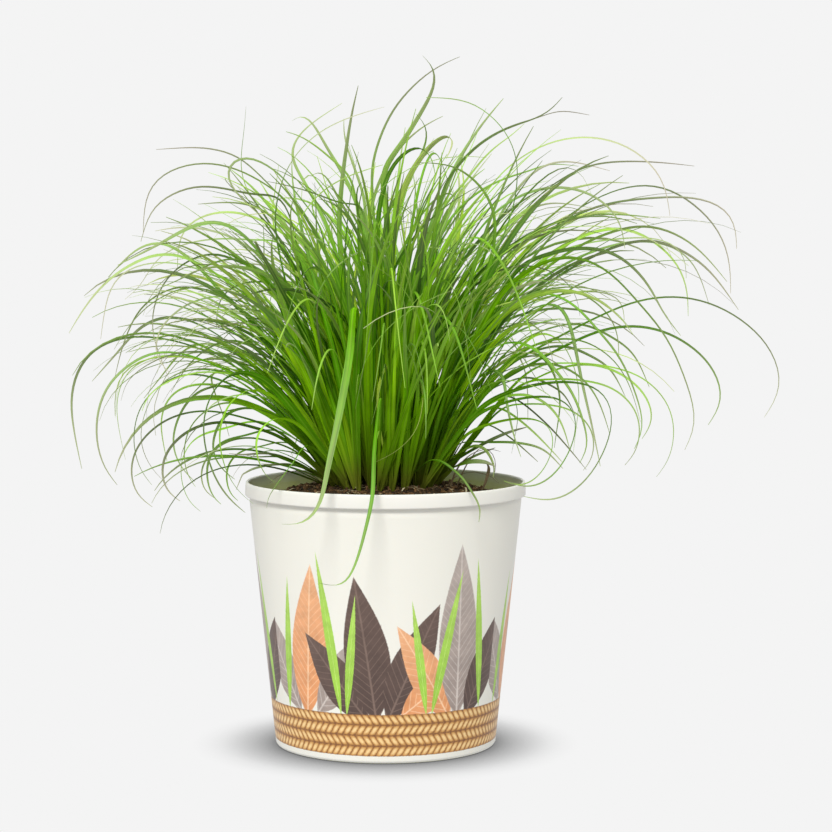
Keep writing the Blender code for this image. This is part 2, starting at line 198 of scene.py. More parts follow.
def buildStudio():
    scene = bpy.context.scene
    backdrop = studio["backdrop"]
    camera = bpy.data.cameras.new("camera")
    camera.lens = studio["lens"]
    camera.sensor_width = 36
    cameraObject = newObject("camera", camera)
    cameraObject.location = Vector(studio["cameraPlace"]) * mm
    cameraObject.rotation_euler = (math.radians(90 + studio["cameraPitch"]), 0, 0)
    scene.camera = cameraObject

    world = bpy.data.worlds.new("studio")
    world.use_nodes = True
    scene.world = world
    world.node_tree.nodes.clear()
    add = partial(addNode, world.node_tree)
    spot = add("TexCoord")
    axes = add("SeparateXYZ", {0: spot.outputs["Generated"]})
    height = add("MapRange", {0: axes.outputs["Z"], "From Min": -1.0, "From Max": 1.0})
    sky = add("ValToRGB", {0: height, "stops": [
        (0.0, studio["skyBelow"]), (0.5, studio["skySide"]), (1.0, studio["skyTop"])]})
    light = add("Background", {"Color": sky})
    plain = add("Background", {"Color": backdrop})
    showToCamera(add, light, plain, "OutputWorld")

    sun = bpy.data.lights.new("softKey", "SUN")
    sun.energy = studio["sunStrength"]
    sun.angle = math.radians(studio["sunSoftness"])
    sunObject = newObject("softKey", sun)
    sunObject.rotation_euler = [math.radians(turn) for turn in studio["sunTurn"]]

    # the paper glows as bright as the backdrop, and a painted contact shadow, from ambient occlusion, darkens
    # it only close round the foot of the pot
    paper, add = newMaterial("matteStudioPaper")
    openness = add("AmbientOcclusion", {"samples": 16, "Distance": studio["shadowReach"] * mm})
    tone = add("ValToRGB", {0: openness.outputs["AO"], "stops": [*studio["shadowTones"], (1.0, backdrop)]})
    seen = add("Emission", {"Color": tone})
    plain = add("Emission", {"Color": backdrop, "Strength": studio["floorGlow"]})
    showToCamera(add, plain, seen, "OutputMaterial")
    paper.cycles.emission_sampling = "NONE"
    half = studio["paperSize"] * mm / 2
    corners = [(-half, -half, 0), (half, -half, 0), (half, half, 0), (-half, half, 0)]
    floor = meshObject("studio_floor", corners, [(0, 1, 2, 3)], paper, False)
    floor.location.z = -studio["paperDrop"] * mm

    scene.view_settings.view_transform = "Standard"
    scene.view_settings.look = "None"


buildStudio()
print("camera, light and floor made")

# Pot: polypropylene, injection moulded in a polished tool, with a printed film moulded into its side.
# To the eye that is a satin cream skin with a soft highlight, and a print with no edge to feel.

pot = {
    "height": 113.0,
    "rimRadius": 60.0,
    "rimBand": 6.0,
    "crestInset": 0.8,
    "crestRadius": 0.62,
    "innerInset": 1.4,
    "rimRounding": 0.9,
    "widestDrop": 2.5,
    "lipRadius": 0.55,             # rounding under the rim band
    "groove": 1.2,
    "grooveDepth": 0.35,
    "bodyTopRadius": 58.3,
    "baseRadius": 47.2,
    "baseCorner": 1.4,
    "wall": 1.05,
    "floor": 1.5,
    "footWidth": 6.0,
    "footRise": 0.5,
    "drainHoles": 6,
    "drainRadius": 4.0,
    "drainRing": 31.0,
    "steps": 240,
}
bandBottom = pot["height"] - pot["rimBand"]
bodyTop = bandBottom - pot["groove"]


def wallRadius(height):
    return pot["baseRadius"] + (pot["bodyTopRadius"] - pot["baseRadius"]) * height / bodyTop


def arcPoints(centre, radius, start, end, count):
    # points of a round stretch in (radius, height), angles in degrees from straight outward
    angles = np.radians(np.linspace(start, end, count))
    return [(centre[0] + radius * math.cos(a), centre[1] + radius * math.sin(a)) for a in angles]


def potOutline():
    # (radius, height) from the middle of the inside floor, over the rim, to the middle of the base
    top, rim, wall, corner = pot["height"], pot["rimRadius"], pot["wall"], pot["baseCorner"]
    inner = rim - pot["innerInset"]
    body = pot["bodyTopRadius"]
    groove = body - pot["grooveDepth"]
    crest, lip = pot["crestRadius"], pot["lipRadius"]
    rise = pot["footRise"]
    cornerTop = pot["floor"] + corner
    outline = [(0.0, pot["floor"]), (20.0, pot["floor"])]
    outline += arcPoints((wallRadius(cornerTop) - wall - corner, cornerTop), corner, -90, -6, 6)
    for share in (0.2, 0.4, 0.6, 0.8):
        height = cornerTop + (bodyTop - cornerTop) * share
        outline.append((wallRadius(height) - wall, height))
    outline += [(body - wall, bodyTop - 0.6), (body - wall + 0.15, bodyTop + 0.4),
                (inner - 0.25, bandBottom + 1.2), (inner, top - pot["rimRounding"])]
    outline += arcPoints((rim - pot["crestInset"], top - crest), crest, 165, 15, 9)
    outline += [(rim - 0.12, top - 1.3), (rim, top - pot["widestDrop"]), (rim, bandBottom + 1.2)]
    outline += arcPoints((rim - lip, bandBottom + lip), lip, 0, -80, 7)
    outline += [(body + 0.25, bandBottom - 0.12), (groove, bandBottom - 0.55),
                (groove + 0.1, bodyTop - 0.1), (wallRadius(bodyTop - 0.9), bodyTop - 0.9)]
    for share in np.linspace(0.97, 0.03, 24):
        height = corner + (bodyTop - corner) * share
        outline.append((wallRadius(height), height))
    cornerMiddle = wallRadius(corner) - corner
    outline += arcPoints((cornerMiddle, corner), corner, -6, -90, 8)
    foot = cornerMiddle - pot["footWidth"]
    outline += [(foot, 0.0), (foot - 0.5, rise), (foot - 3, rise), (7.0, rise), (6.6, 0.15), (0.0, 0.15)]
    return outline


def unrollMap(mesh):
    # UV of the pot's side as if it were unrolled: turns round the axis, and height in metres
    layer = mesh.uv_layers.new(name="unrolled")
    for face in mesh.polygons:
        home = math.atan2(face.center.x, -face.center.y)
        for loop in face.loop_indices:
            spot = mesh.vertices[mesh.loops[loop].vertex_index].co
            angle = math.atan2(spot.x, -spot.y) if spot.xy.length > 1e-6 else home
            if angle - home > math.pi:
                angle -= math.tau
            if home - angle > math.pi:
                angle += math.tau
            layer.data[loop].uv = (angle / math.tau + 0.5, spot.z)


# Print on the pot: lance-shaped leaves and grass blades over a border of twisted cord.
# One panel repeats round the pot. Each leaf is (across, up, turn, length, width, colour), with
# across and up in millimetres from the panel's left edge and the table, and turn in degrees.

potPrint = {
    "panels": 3,
    "panelWidth": 111.0,
    "cream": "#E6E4DA",
    "rimCream": "#E1DFD7",
    "charcoal": "#54423C",
    "charcoalLight": "#7C675D",
    "warmGrey": "#9F9088",
    "warmGreyLight": "#CDC2BA",
    "ginger": "#DE9560",
    "gingerLight": "#F3C79F",
    "lime": "#97C83C",
    "limeLight": "#C3E27A",
    "ochre": "#C5914F",
    "ochreLight": "#EBC98F",
    "ochreDark": "#7F5330",
    "borderTop": 21.0,
    "borderFoot": 3.0,
    "borderRows": 4,
    "cords": 37,                   # to a panel, each 3 mm wide
    "leaves": [
        (14, 20, 118, 52, 17, "warmGrey"), (18, 18, 84, 66, 19, "ginger"), (24, 20, 52, 50, 16, "warmGrey"),
        (48, 18, 128, 46, 17, "charcoal"), (52, 18, 98, 62, 20, "charcoal"), (57, 18, 66, 54, 18, "charcoal"),
        (63, 20, 36, 42, 15, "ginger"), (86, 18, 122, 48, 16, "ginger"), (90, 18, 92, 74, 20, "warmGrey"),
        (95, 18, 64, 52, 17, "charcoal"), (36, 20, 97, 70, 4.4, "lime"), (38.5, 20, 84, 52, 3.8, "lime"),
        (77, 20, 79, 62, 4.4, "lime"), (74.5, 20, 99, 50, 3.8, "lime"), (6, 20, 84, 58, 4.2, "lime"),
        (104, 20, 97, 66, 4.2, "lime"),
    ],
    "veinSpacing": 3.4,
    "mottle": 0.1,
    "paintedGreenShade": "#C4C868",            # painted shade and green light reflected from the leaves, on the inside of the wall
}


def printedLeaf(add, place, leaf, under, wash):
    # paints one leaf over the colours under it: a lens with a pale midrib and side veins
    across, up, turn, length, width, colour = leaf
    local = add("Mapping", {
        "vector_type": "TEXTURE", "Location": (across, up, 0), "Rotation": (0, 0, math.radians(turn)),
        "Scale": (length, width / 2, 1), "Vector": place})
    axes = add("SeparateXYZ", {0: local})
    along = axes.outputs["X"]
    side = add("Math ABSOLUTE", {0: axes.outputs["Y"]})
    ended = add("Math MINIMUM", {0: along, 1: 1.0})
    bend = add("Math POWER", {0: ended, 1: 0.78})
    halfTurn = add("Math MULTIPLY", {0: bend, 1: math.pi})
    edge = add("Math SINE", {0: halfTurn})
    inside = add("Math SUBTRACT", {0: edge, 1: side})
    mask = add("MapRange", {"interpolation_type": "SMOOTHSTEP", 0: inside, "From Max": 0.05})
    # side veins run forward from the midrib and fade to the edge
    slant = add("Math MULTIPLY_ADD", {0: side, 1: -0.16, 2: along})
    wave = add("Math MULTIPLY", {0: slant, 1: math.tau * length / potPrint["veinSpacing"]})
    lines = add("Math SINE", {0: wave})
    veins = add("MapRange", {0: lines, "From Min": 0.72, "To Max": 0.7})
    rib = add("MapRange", {0: side, "From Min": 0.07, "From Max": 0.02})
    pale = add("Math MAXIMUM", {0: veins, 1: rib})
    shade = add("MapRange", {0: along, "To Max": 0.45})
    light = add("Math MAXIMUM", {0: pale, 1: shade})
    body = add("Mix RGBA", {0: light, 6: potPrint[colour], 7: potPrint[colour + "Light"]})
    washed = add("VectorMath SCALE", {0: body.outputs[2], "Scale": wash})
    return add("Mix RGBA", {0: mask, 6: under, 7: washed}).outputs[2]


def cordBorder(add, place, under):
    # rows of slanted cords between the border's two lines, each row leaning against the next
    axes = add("SeparateXYZ", {0: place})
    across, up = axes.outputs["X"], axes.outputs["Y"]
    foot, top = potPrint["borderFoot"], potPrint["borderTop"]
    level = add("Math SUBTRACT", {0: up, 1: foot})
    rows = add("Math DIVIDE", {0: level, 1: (top - foot) / potPrint["borderRows"]})
    row = add("Math FLOOR", {0: rows})
    inRow = add("Math FRACT", {0: rows})
    odd = add("Math PINGPONG", {0: row, 1: 1.0})
    lean = add("MapRange", {0: odd, "To Min": -1.0})
    shift = add("Math MULTIPLY", {0: inRow, 1: lean})
    cords = add("Math MULTIPLY_ADD", {0: across, 1: potPrint["cords"] / potPrint["panelWidth"], 2: shift})
    inCord = add("Math FRACT", {0: cords})
    # a cord is round across itself and along its row
    lift = None
    for share in (inCord, inRow):
        angle = add("Math MULTIPLY", {0: share, 1: math.pi})
        wave = add("Math SINE", {0: angle})
        lift = add("Math MULTIPLY", {0: lift, 1: wave}) if lift else wave
    fibres = add("TexNoise", {"Scale": 0.9, "Detail": 3.0, "Vector": place})
    rough = add("Math MULTIPLY_ADD", {0: fibres.outputs["Fac"], 1: 0.5, 2: -0.25})
    tone = add("Math ADD", {0: lift, 1: rough})
    weave = add("ValToRGB", {0: tone, "stops": [
        (place, potPrint[name])
        for place, name in ((0.0, "ochreDark"), (0.38, "ochre"), (0.9, "ochreLight"))]})
    above = add("MapRange", {0: up, "From Min": foot, "From Max": foot + 0.3})
    below = add("MapRange", {0: up, "From Min": top, "From Max": top - 0.3})
    mask = add("Math MULTIPLY", {0: above, 1: below})
    return add("Mix RGBA", {0: mask, 6: under, 7: weave}).outputs[2]


def printedPolypropylene():
    material, add = newMaterial("printedPolypropylene")
    unrolled = add("UVMap", {"uv_map": "unrolled"})
    axes = add("SeparateXYZ", {0: unrolled})
    turns = add("Math MULTIPLY", {0: axes.outputs["X"], 1: potPrint["panels"]})
    panel = add("Math FRACT", {0: turns})
    across = add("Math MULTIPLY", {0: panel, 1: potPrint["panelWidth"]})
    up = add("Math DIVIDE", {0: axes.outputs["Y"], 1: mm})
    place = add("CombineXYZ", {0: across, 1: up})
    # a printed edge is never quite clean, so the place is nudged by a quarter of a millimetre
    grain = add("TexNoise", {"Scale": 1.3, "Detail": 4.0, "Vector": place})
    nudge = add("VectorMath MULTIPLY_ADD", {
        0: grain.outputs["Color"], 1: (0.5, 0.5, 0), 2: (-0.25, -0.25, 0)})
    printed = add("VectorMath ADD", {0: place, 1: nudge})
    base = add("RGB")
    base.outputs[0].default_value = hexColour(potPrint["cream"])
    paint = base.outputs[0]
    # the ink lies in soft washes, 5 to 20 mm across
    wash = add("TexNoise", {"Scale": 0.16, "Detail": 6.0, "Roughness": 0.65, "Vector": place})
    wash = add("MapRange", {
        0: wash.outputs["Fac"], "From Min": 0.3, "From Max": 0.7, "To Min": 1 - 2 * potPrint["mottle"],
        "To Max": 1 + potPrint["mottle"]})
    for leaf in potPrint["leaves"]:
        paint = printedLeaf(add, printed, leaf, paint, wash)
    paint = cordBorder(add, printed, paint)
    # the film stops below the groove and above the foot, and is on the outside only
    where = add("Attribute", {"attribute_name": "film"})
    film = add("Mix RGBA", {0: where.outputs["Fac"], 6: potPrint["rimCream"], 7: paint})
    inside = add("Attribute", {"attribute_name": "inside"})
    # painted shade and green light reflected from the leaves, in patches over the inside wall
    shadePatches = add("TexNoise", {"Scale": 0.12, "Detail": 5.0, "Vector": place})
    paintedGreenShade = add("Math MULTIPLY_ADD", {0: shadePatches.outputs["Fac"], 1: 0.8, 2: 0.45})
    paintedShadeMask = add("Math MULTIPLY", {0: paintedGreenShade, 1: inside.outputs["Fac"]})
    colour = add("Mix RGBA", {0: paintedShadeMask, 6: film.outputs[2], 7: potPrint["paintedGreenShade"]})
    # orange-peel of the moulding, about 2 mm across and a few microns deep
    spot = add("TexCoord")
    peel = add("TexNoise", {"Scale": 1 / (2 * mm), "Detail": 2.0, "Vector": spot.outputs["Object"]})
    bump = add("Bump", {"Strength": 0.05, "Distance": 0.2 * mm, "Height": peel.outputs["Fac"]})
    shader = add("BsdfPrincipled", {
        "Roughness": 0.34, "IOR": 1.49, "Subsurface Weight": 0.08, "Subsurface Radius": (1.0, 0.8, 0.6),
        "Subsurface Scale": 1.5 * mm, "Base Color": colour.outputs[2], "Normal": bump})
    add("OutputMaterial", {"Surface": shader})
    return material


def drillHoles(shell):
    # cuts the drain holes through the pot's base
    sides = 32
    points = []
    faces = []
    for hole in range(pot["drainHoles"]):
        middleX, middleY = polar(pot["drainRing"], math.tau * hole / pot["drainHoles"])
        start = len(points)
        for height in (-5, 5):
            for i in range(sides):
                x, y = polar(pot["drainRadius"], math.tau * i / sides)
                points.append(((middleX + x) * mm, (middleY + y) * mm, height * mm))
        faces += [range(start + sides - 1, start - 1, -1), range(start + sides, start + 2 * sides)]
        for i in range(sides):
            j = (i + 1) % sides
            faces.append((start + i, start + j, start + sides + j, start + sides + i))
    drill = meshObject("drain_drill", points, faces, smooth=False)
    boolean = shell.modifiers.new("holes", "BOOLEAN")
    boolean.operation = "DIFFERENCE"
    boolean.object = drill
    bpy.context.view_layer.update()
    drilled = bpy.data.meshes.new_from_object(shell.evaluated_get(bpy.context.evaluated_depsgraph_get()))
    shell.modifiers.clear()
    whole = shell.data
    shell.data = drilled
    bpy.data.objects.remove(drill)
    bpy.data.meshes.remove(whole)


def buildPot():
    steps = pot["steps"]
    outline = potOutline()
    points = [(0.0, 0.0, outline[0][1] * mm)]
    for radius, height in outline[1:-1]:
        for i in range(steps):
            x, y = polar(radius, math.tau * i / steps)
            points.append((x * mm, y * mm, height * mm))
    points.append((0.0, 0.0, outline[-1][1] * mm))
    shell = meshObject("pot_shell", points, ringFaces(len(outline) - 2, steps), printedPolypropylene())
    drillHoles(shell)
    shell.data.set_sharp_from_angle(angle=math.radians(40))
    unrollMap(shell.data)
    film = []
    inside = []
    for vert in shell.data.vertices:
        height = vert.co.z / mm
        radius = vert.co.xy.length / mm
        outside = radius > wallRadius(height) - pot["wall"] / 2
        film.append(float(outside and pot["baseCorner"] - 0.3 < height < bodyTop - 0.5))
        # the painted green shade is on the inside wall, and fades out under the rim's crest
        edge = min(wallRadius(height), pot["bodyTopRadius"]) - pot["wall"] / 2
        if height > bandBottom + 0.5:
            edge = pot["rimRadius"] - pot["innerInset"] + 0.1
        inside.append(float(np.clip(pot["height"] - 0.6 - height, 0, 1)) if radius < edge else 0.0)
    addFloats(shell.data, "film", film)
    addFloats(shell.data, "inside", inside)
    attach(shell, "root")
    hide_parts("pot")


buildPot()
print("pot made")

# Peat: milled brown peat with bark and straw in it, watered and settled.
# To the eye that is matt dark crumbs with reddish fibres and a few pale scraps.

peat = {
    "edgeHeight": 102.5,
    "top": 111.5,
    "shoulder": 3.4,
    "gap": 0.3,
    "rings": 64,
    "spokes": 150,
    "lump": 0.9,                   # how far the surface rises and falls
    "lumpWidth": 7.0,
    "crumb": 0.45,
    "crumbWidth": 1.89,
    "crumbs": 3000,
    "crumbSize": (0.35, 1.5),
    "crumbUneven": 0.28,
    "fibres": 420,
    "fibreLength": (4.0, 13.0),
    "fibreBend": 1.6,
    "fibreLift": (0.2, 1.3),
    "fibreWidth": (0.154, 0.33),
    "fibreFlat": 1.0,
    "chips": 130,
    "chipSize": (1.6, 5.0),
    "chipUneven": 0.2,
    "chipTilt": 0.35,
    "chipLift": 0.6,
    "straws": 70,
    "strawLength": (3.0, 12.0),
    "strawBend": 0.5,
    "strawLift": (0.6, 1.6),
    "strawWidth": (0.4, 1.1),
    "strawFlat": 0.3,
    "dark": "#1E1710",
    "brown": "#45351F",
    "red": "#6A4E30",
    "straw": "#D2C49E",
    "bark": "#AC9670",
    # dried leaf ends inside the rim: width, then (across, back, height) points
    "curls": [
        (1.3, [(27, -4, 109), (31, -5, 119), (37, -6, 125), (44, -7, 127), (49, -8, 126)]),
        (1.0, [(30, 2, 109), (35, 1, 120), (41, 0, 127), (46, -2, 124), (47, -3, 118), (45.5, -4, 115)]),
        (1.5, [(41, -6, 109), (43, -7, 114), (44, -8, 119), (42.5, -9, 122)]),
        (0.9, [(25, -12, 110), (30, -14, 116), (37, -15, 118), (44, -16, 116.5), (48, -17, 113.5)]),
        (0.9, [(-24, -8, 110), (-31, -9, 116), (-38, -10, 118), (-45, -11, 116), (-49, -12, 113)]),
    ],
    "curlThick": 0.3,
}
peatEdge = wallRadius(peat["edgeHeight"]) - pot["wall"] - peat["gap"]


def peatHeight(radius):
    share = min(radius / peatEdge, 1.0)
    return peat["top"] - (peat["top"] - peat["edgeHeight"]) * share ** peat["shoulder"]


def peatSurface(x, y):
    # height of the lumpy surface, which is calmer near the wall
    radius = math.hypot(x, y)
    wide = noise.noise(Vector((x, y, 4.0)) / peat["lumpWidth"])
    fine = noise.noise(Vector((x, y, 9.0)) / peat["crumbWidth"])
    calm = min(1.0, (peatEdge - radius) / 3 + 0.25)
    return peatHeight(radius) - 0.5 + (peat["lump"] * wide + peat["crumb"] * fine) * calm


def milledPeat():
    material, add = newMaterial("milledPeat")
    where = add("TexCoord")
    kind, tint = [add("Attribute", {"attribute_name": name}).outputs["Fac"] for name in ("kind", "tint")]
    # crumbs 1 mm across
    crumbs = add("TexNoise", {"Scale": 1 / (1.0 * mm), "Detail": 5.0,
                              "Vector": where.outputs["Object"]}).outputs["Fac"]
    both = add("Math MULTIPLY_ADD", {0: crumbs, 1: 0.55, 2: tint})
    soil = add("ValToRGB", {0: both, "stops": [
        (place, peat[name]) for place, name in ((0.2, "dark"), (0.75, "brown"), (1.0, "red"))]})
    # kind runs from 0, peat, over 1, red fibre, and 2, bark, to 3, straw
    third = add("Math DIVIDE", {0: kind, 1: 3.0})
    scraps = add("ValToRGB", {0: third, "stops": [
        (place, peat[name])
        for place, name in ((0.0, "brown"), (0.33, "red"), (0.67, "bark"), (1.0, "straw"))]})
    loose = add("Math GREATER_THAN", {0: kind, 1: 0.5})
    shade = add("MapRange", {0: tint, "To Min": 0.55, "To Max": 1.15})
    shaded = add("VectorMath SCALE", {0: scraps, "Scale": shade})
    colour = add("Mix RGBA", {0: loose, 6: soil, 7: shaded})
    bump = add("Bump", {"Strength": 0.7, "Distance": 0.4 * mm, "Height": crumbs})
    shader = add("BsdfPrincipled", {
        "Roughness": 0.92, "Specular IOR Level": 0.25, "Base Color": colour.outputs[2], "Normal": bump})
    add("OutputMaterial", {"Surface": shader})
    return material


class Heap:
    # gathers the points and faces of one mesh, with named values for each point
    def __init__(self, *names):
        self.points = []
        self.faces = []
        self.values = {name: [] for name in names}

    def add(self, points, faces, **values):
        start = len(self.points)
        self.points.extend(points)
        self.faces.extend([tuple(start + i for i in face) for face in faces])
        for name, value in values.items():
            many = value if hasattr(value, "__len__") else [value] * len(points)
            self.values[name].extend(many)

    def make(self, name, material):
        obj = meshObject(name, [tuple(c * mm for c in point) for point in self.points],
                         self.faces, material)
        for key, values in self.values.items():
            addFloats(obj.data, key, values)
        return obj


def crumbShape():
    # a lump with twelve corners
    gold = (1 + 5 ** 0.5) / 2
    corners = [(-1, gold, 0), (1, gold, 0), (-1, -gold, 0), (1, -gold, 0), (0, -1, gold),
               (0, 1, gold), (0, -1, -gold), (0, 1, -gold), (gold, 0, -1), (gold, 0, 1),
               (-gold, 0, -1), (-gold, 0, 1)]
    faces = [(0, 11, 5), (0, 5, 1), (0, 1, 7), (0, 7, 10), (0, 10, 11), (1, 5, 9), (5, 11, 4),
             (11, 10, 2), (10, 7, 6), (7, 1, 8), (3, 9, 4), (3, 4, 2), (3, 2, 6), (3, 6, 8),
             (3, 8, 9), (4, 9, 5), (2, 4, 11), (6, 2, 10), (8, 6, 7), (9, 8, 1)]
    return np.array(corners) / math.hypot(1, gold), faces


def lumpPoints(ball, uneven, stretch, angles):
    # a stretched uneven lump, turned about x, then y, then z
    turn = (Matrix.Rotation(angles[2], 3, "Z") @ Matrix.Rotation(angles[1], 3, "Y")
            @ Matrix.Rotation(angles[0], 3, "X"))
    return ball * uneven * stretch @ np.array(turn).T


def onPeat(reach=1.0):
    # a random place on the peat, even by area
    radius = (peatEdge - 1.2) * reach * math.sqrt(rng.random())
    return polar(radius, math.tau * rng.random())


def strand(points, thick, flat=1.0):
    # a closed thin strand of four sides along the points, pointed at both ends
    points = np.asarray(points, float)
    count = len(points)
    along = unit(np.gradient(points, axis=0))
    side = unit(np.cross(along, (0.13, 0.21, 0.97)))
    up = np.cross(side, along)
    size = thick / 2 * (0.35 + 0.65 * np.sin(np.pi * np.linspace(0, 1, count)) ** 0.5)[:, None]
    ring = np.stack([points - side * size, points + up * size * flat, points + side * size,
                     points - up * size * flat], axis=1)
    faces = [(0, 3, 2, 1)]
    for low in range(0, 4 * (count - 1), 4):
        for k in range(4):
            j = (k + 1) % 4
            faces.append((low + k, low + j, low + 4 + j, low + 4 + k))
    faces.append(range(4 * (count - 1), 4 * count))
    return ring.reshape(-1, 3), faces


def litterCurve(length, bend, lift):
    # a loose scrap that lies on the peat and bends as it goes
    x, y = onPeat()
    heading = math.tau * rng.random()
    turn = rng.normal(0, bend)
    count = 6
    points = []
    for i in range(count):
        points.append((x, y, peatSurface(x, y) + lift * (0.3 + math.sin(math.pi * i / (count - 1)))))
        x += math.cos(heading) * length / (count - 1)
        y += math.sin(heading) * length / (count - 1)
        heading += turn / count
        if math.hypot(x, y) > peatEdge - 1:
            break
    return points


def strew(heap, name, kind):
    # loose strands over the whole surface
    for _ in range(peat[name + "s"]):
        length = rng.uniform(*peat[name + "Length"])
        curve = litterCurve(length, peat[name + "Bend"], rng.uniform(*peat[name + "Lift"]))
        if len(curve) > 3:
            shape = strand(curve, rng.uniform(*peat[name + "Width"]), peat[name + "Flat"])
            heap.add(*shape, kind=kind, tint=float(rng.random()))


def buildPeat():
    heap = Heap("kind", "tint")
    spokes, rings = peat["spokes"], peat["rings"]
    turns = [math.tau * i / spokes for i in range(spokes)]
    points = [(0.0, 0.0, peatSurface(0, 0))]
    for ring in range(1, rings + 1):
        for turn in turns:
            x, y = polar(peatEdge * ring / rings, turn)
            points.append((x, y, peatSurface(x, y)))
    fit = pot["wall"] + peat["gap"]
    low = pot["floor"] + peat["gap"]
    corner = pot["baseCorner"]
    sides = [(wallRadius(h) - fit, h) for h in np.linspace(peat["edgeHeight"] - 4, low + corner, 8)]
    sides += [(wallRadius(low) - fit - corner, low), (20.0, low)]
    points += [(*polar(radius, turn), height) for radius, height in sides for turn in turns]
    points.append((0.0, 0.0, low))
    heap.add(points, ringFaces(rings + len(sides), spokes), kind=0.0, tint=0.2)

    ball, ballFaces = crumbShape()
    small, large = peat["crumbSize"]
    for _ in range(peat["crumbs"]):
        x, y = onPeat(0.985)
        size = small + (large - small) * rng.random() ** 2.6
        stretch = np.array([1.0, rng.uniform(0.6, 1.0), rng.uniform(0.45, 0.9)]) * size
        uneven = 1 + peat["crumbUneven"] * rng.standard_normal((12, 1))
        shape = lumpPoints(ball, uneven, stretch, rng.uniform(0, math.tau, 3))
        shape += (x, y, peatSurface(x, y) + size * 0.25)
        heap.add(shape, ballFaces, kind=0.0, tint=float(rng.random()))
    strew(heap, "fibre", 1.0)
    small, large = peat["chipSize"]
    for _ in range(peat["chips"]):
        x, y = onPeat(0.96)
        size = rng.uniform(small, large) / 2
        stretch = np.array([1.0, rng.uniform(0.3, 0.6), rng.uniform(0.12, 0.3)]) * size
        uneven = 1 + peat["chipUneven"] * rng.standard_normal((12, 1))
        tilt = peat["chipTilt"]
        angles = (rng.normal(0, tilt), rng.normal(0, tilt), rng.uniform(0, math.tau))
        shape = lumpPoints(ball, uneven, stretch, angles)
        shape += (x, y, peatSurface(x, y) + peat["chipLift"])
        heap.add(shape, ballFaces, kind=2.0, tint=float(rng.random()))
    strew(heap, "straw", 3.0)
    for width, points in peat["curls"]:
        curl = smoothCurve(points, 16)
        heap.add(*strand(curl, width, peat["curlThick"] / width), kind=2.0, tint=0.0)
    piece = heap.make("peat_plug", milledPeat())
    piece.data.set_sharp_from_angle(angle=math.radians(50))
    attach(piece, "root")
    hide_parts("peat")


buildPeat()
print("peat made")

# Shoots: living sedge leaves, thin and channelled, with a light wax on them.
# To the eye that is a satin green that the light comes through, finely lined along its length.

clump = {
    "lanes": 48,
    "viewpoint": (13.0, -1071.0, 220.0),
    "ringRadius": {"b": 11.0, "c": 16.5, "d": 22.0},
    "laneRings": "bdcbdcdbdcbdcdbdcbdcdbcd" * 2,
    "ringUnevenness": 0.7,
    "ringWave": 2.4,
    "coreRadius": 5.5,
    # a shoot's three leaves in the solids: size, degrees round, and millimetres outward
    "leadingThree": ((1.0, 0.0, -1.0), (0.64, 2.0, 1.0), (0.84, -2.2, 0.0)),
    "stray": 5.0,                  # how far the two smaller ones stray at the tip
    "sway": (6.0, 13.0),           # sideways at the tip, of the leaves that follow an arch
    "crownTop": 290.0,
    "crownFall": 47.0,             # how far it has come down at crownReach from the axis
    "crownReach": 109.0,
    "crownSkew": 26.0,
    "middle": 12.0,                # the clump leans this far to the right and back
    "widest": 148.0,               # from there
    "lowest": 62.0,
    "rimClearance": 2.2,
    "rimReachIn": 6.0,
    "rimEasing": 9.0,              # how far the bend over the rim is spread
    "hangingGap": 3.5,             # kept free beside the two leaves that hang over the front
}

# The first three groups are the leading leaves of the solids, in the same millimetres: across and
# height as the camera sees them on the plane y = 0, carried on to where each leaf really grows.
# Leaf 33 alone lies a few millimetres off its solid, because the photograph was read again for it.

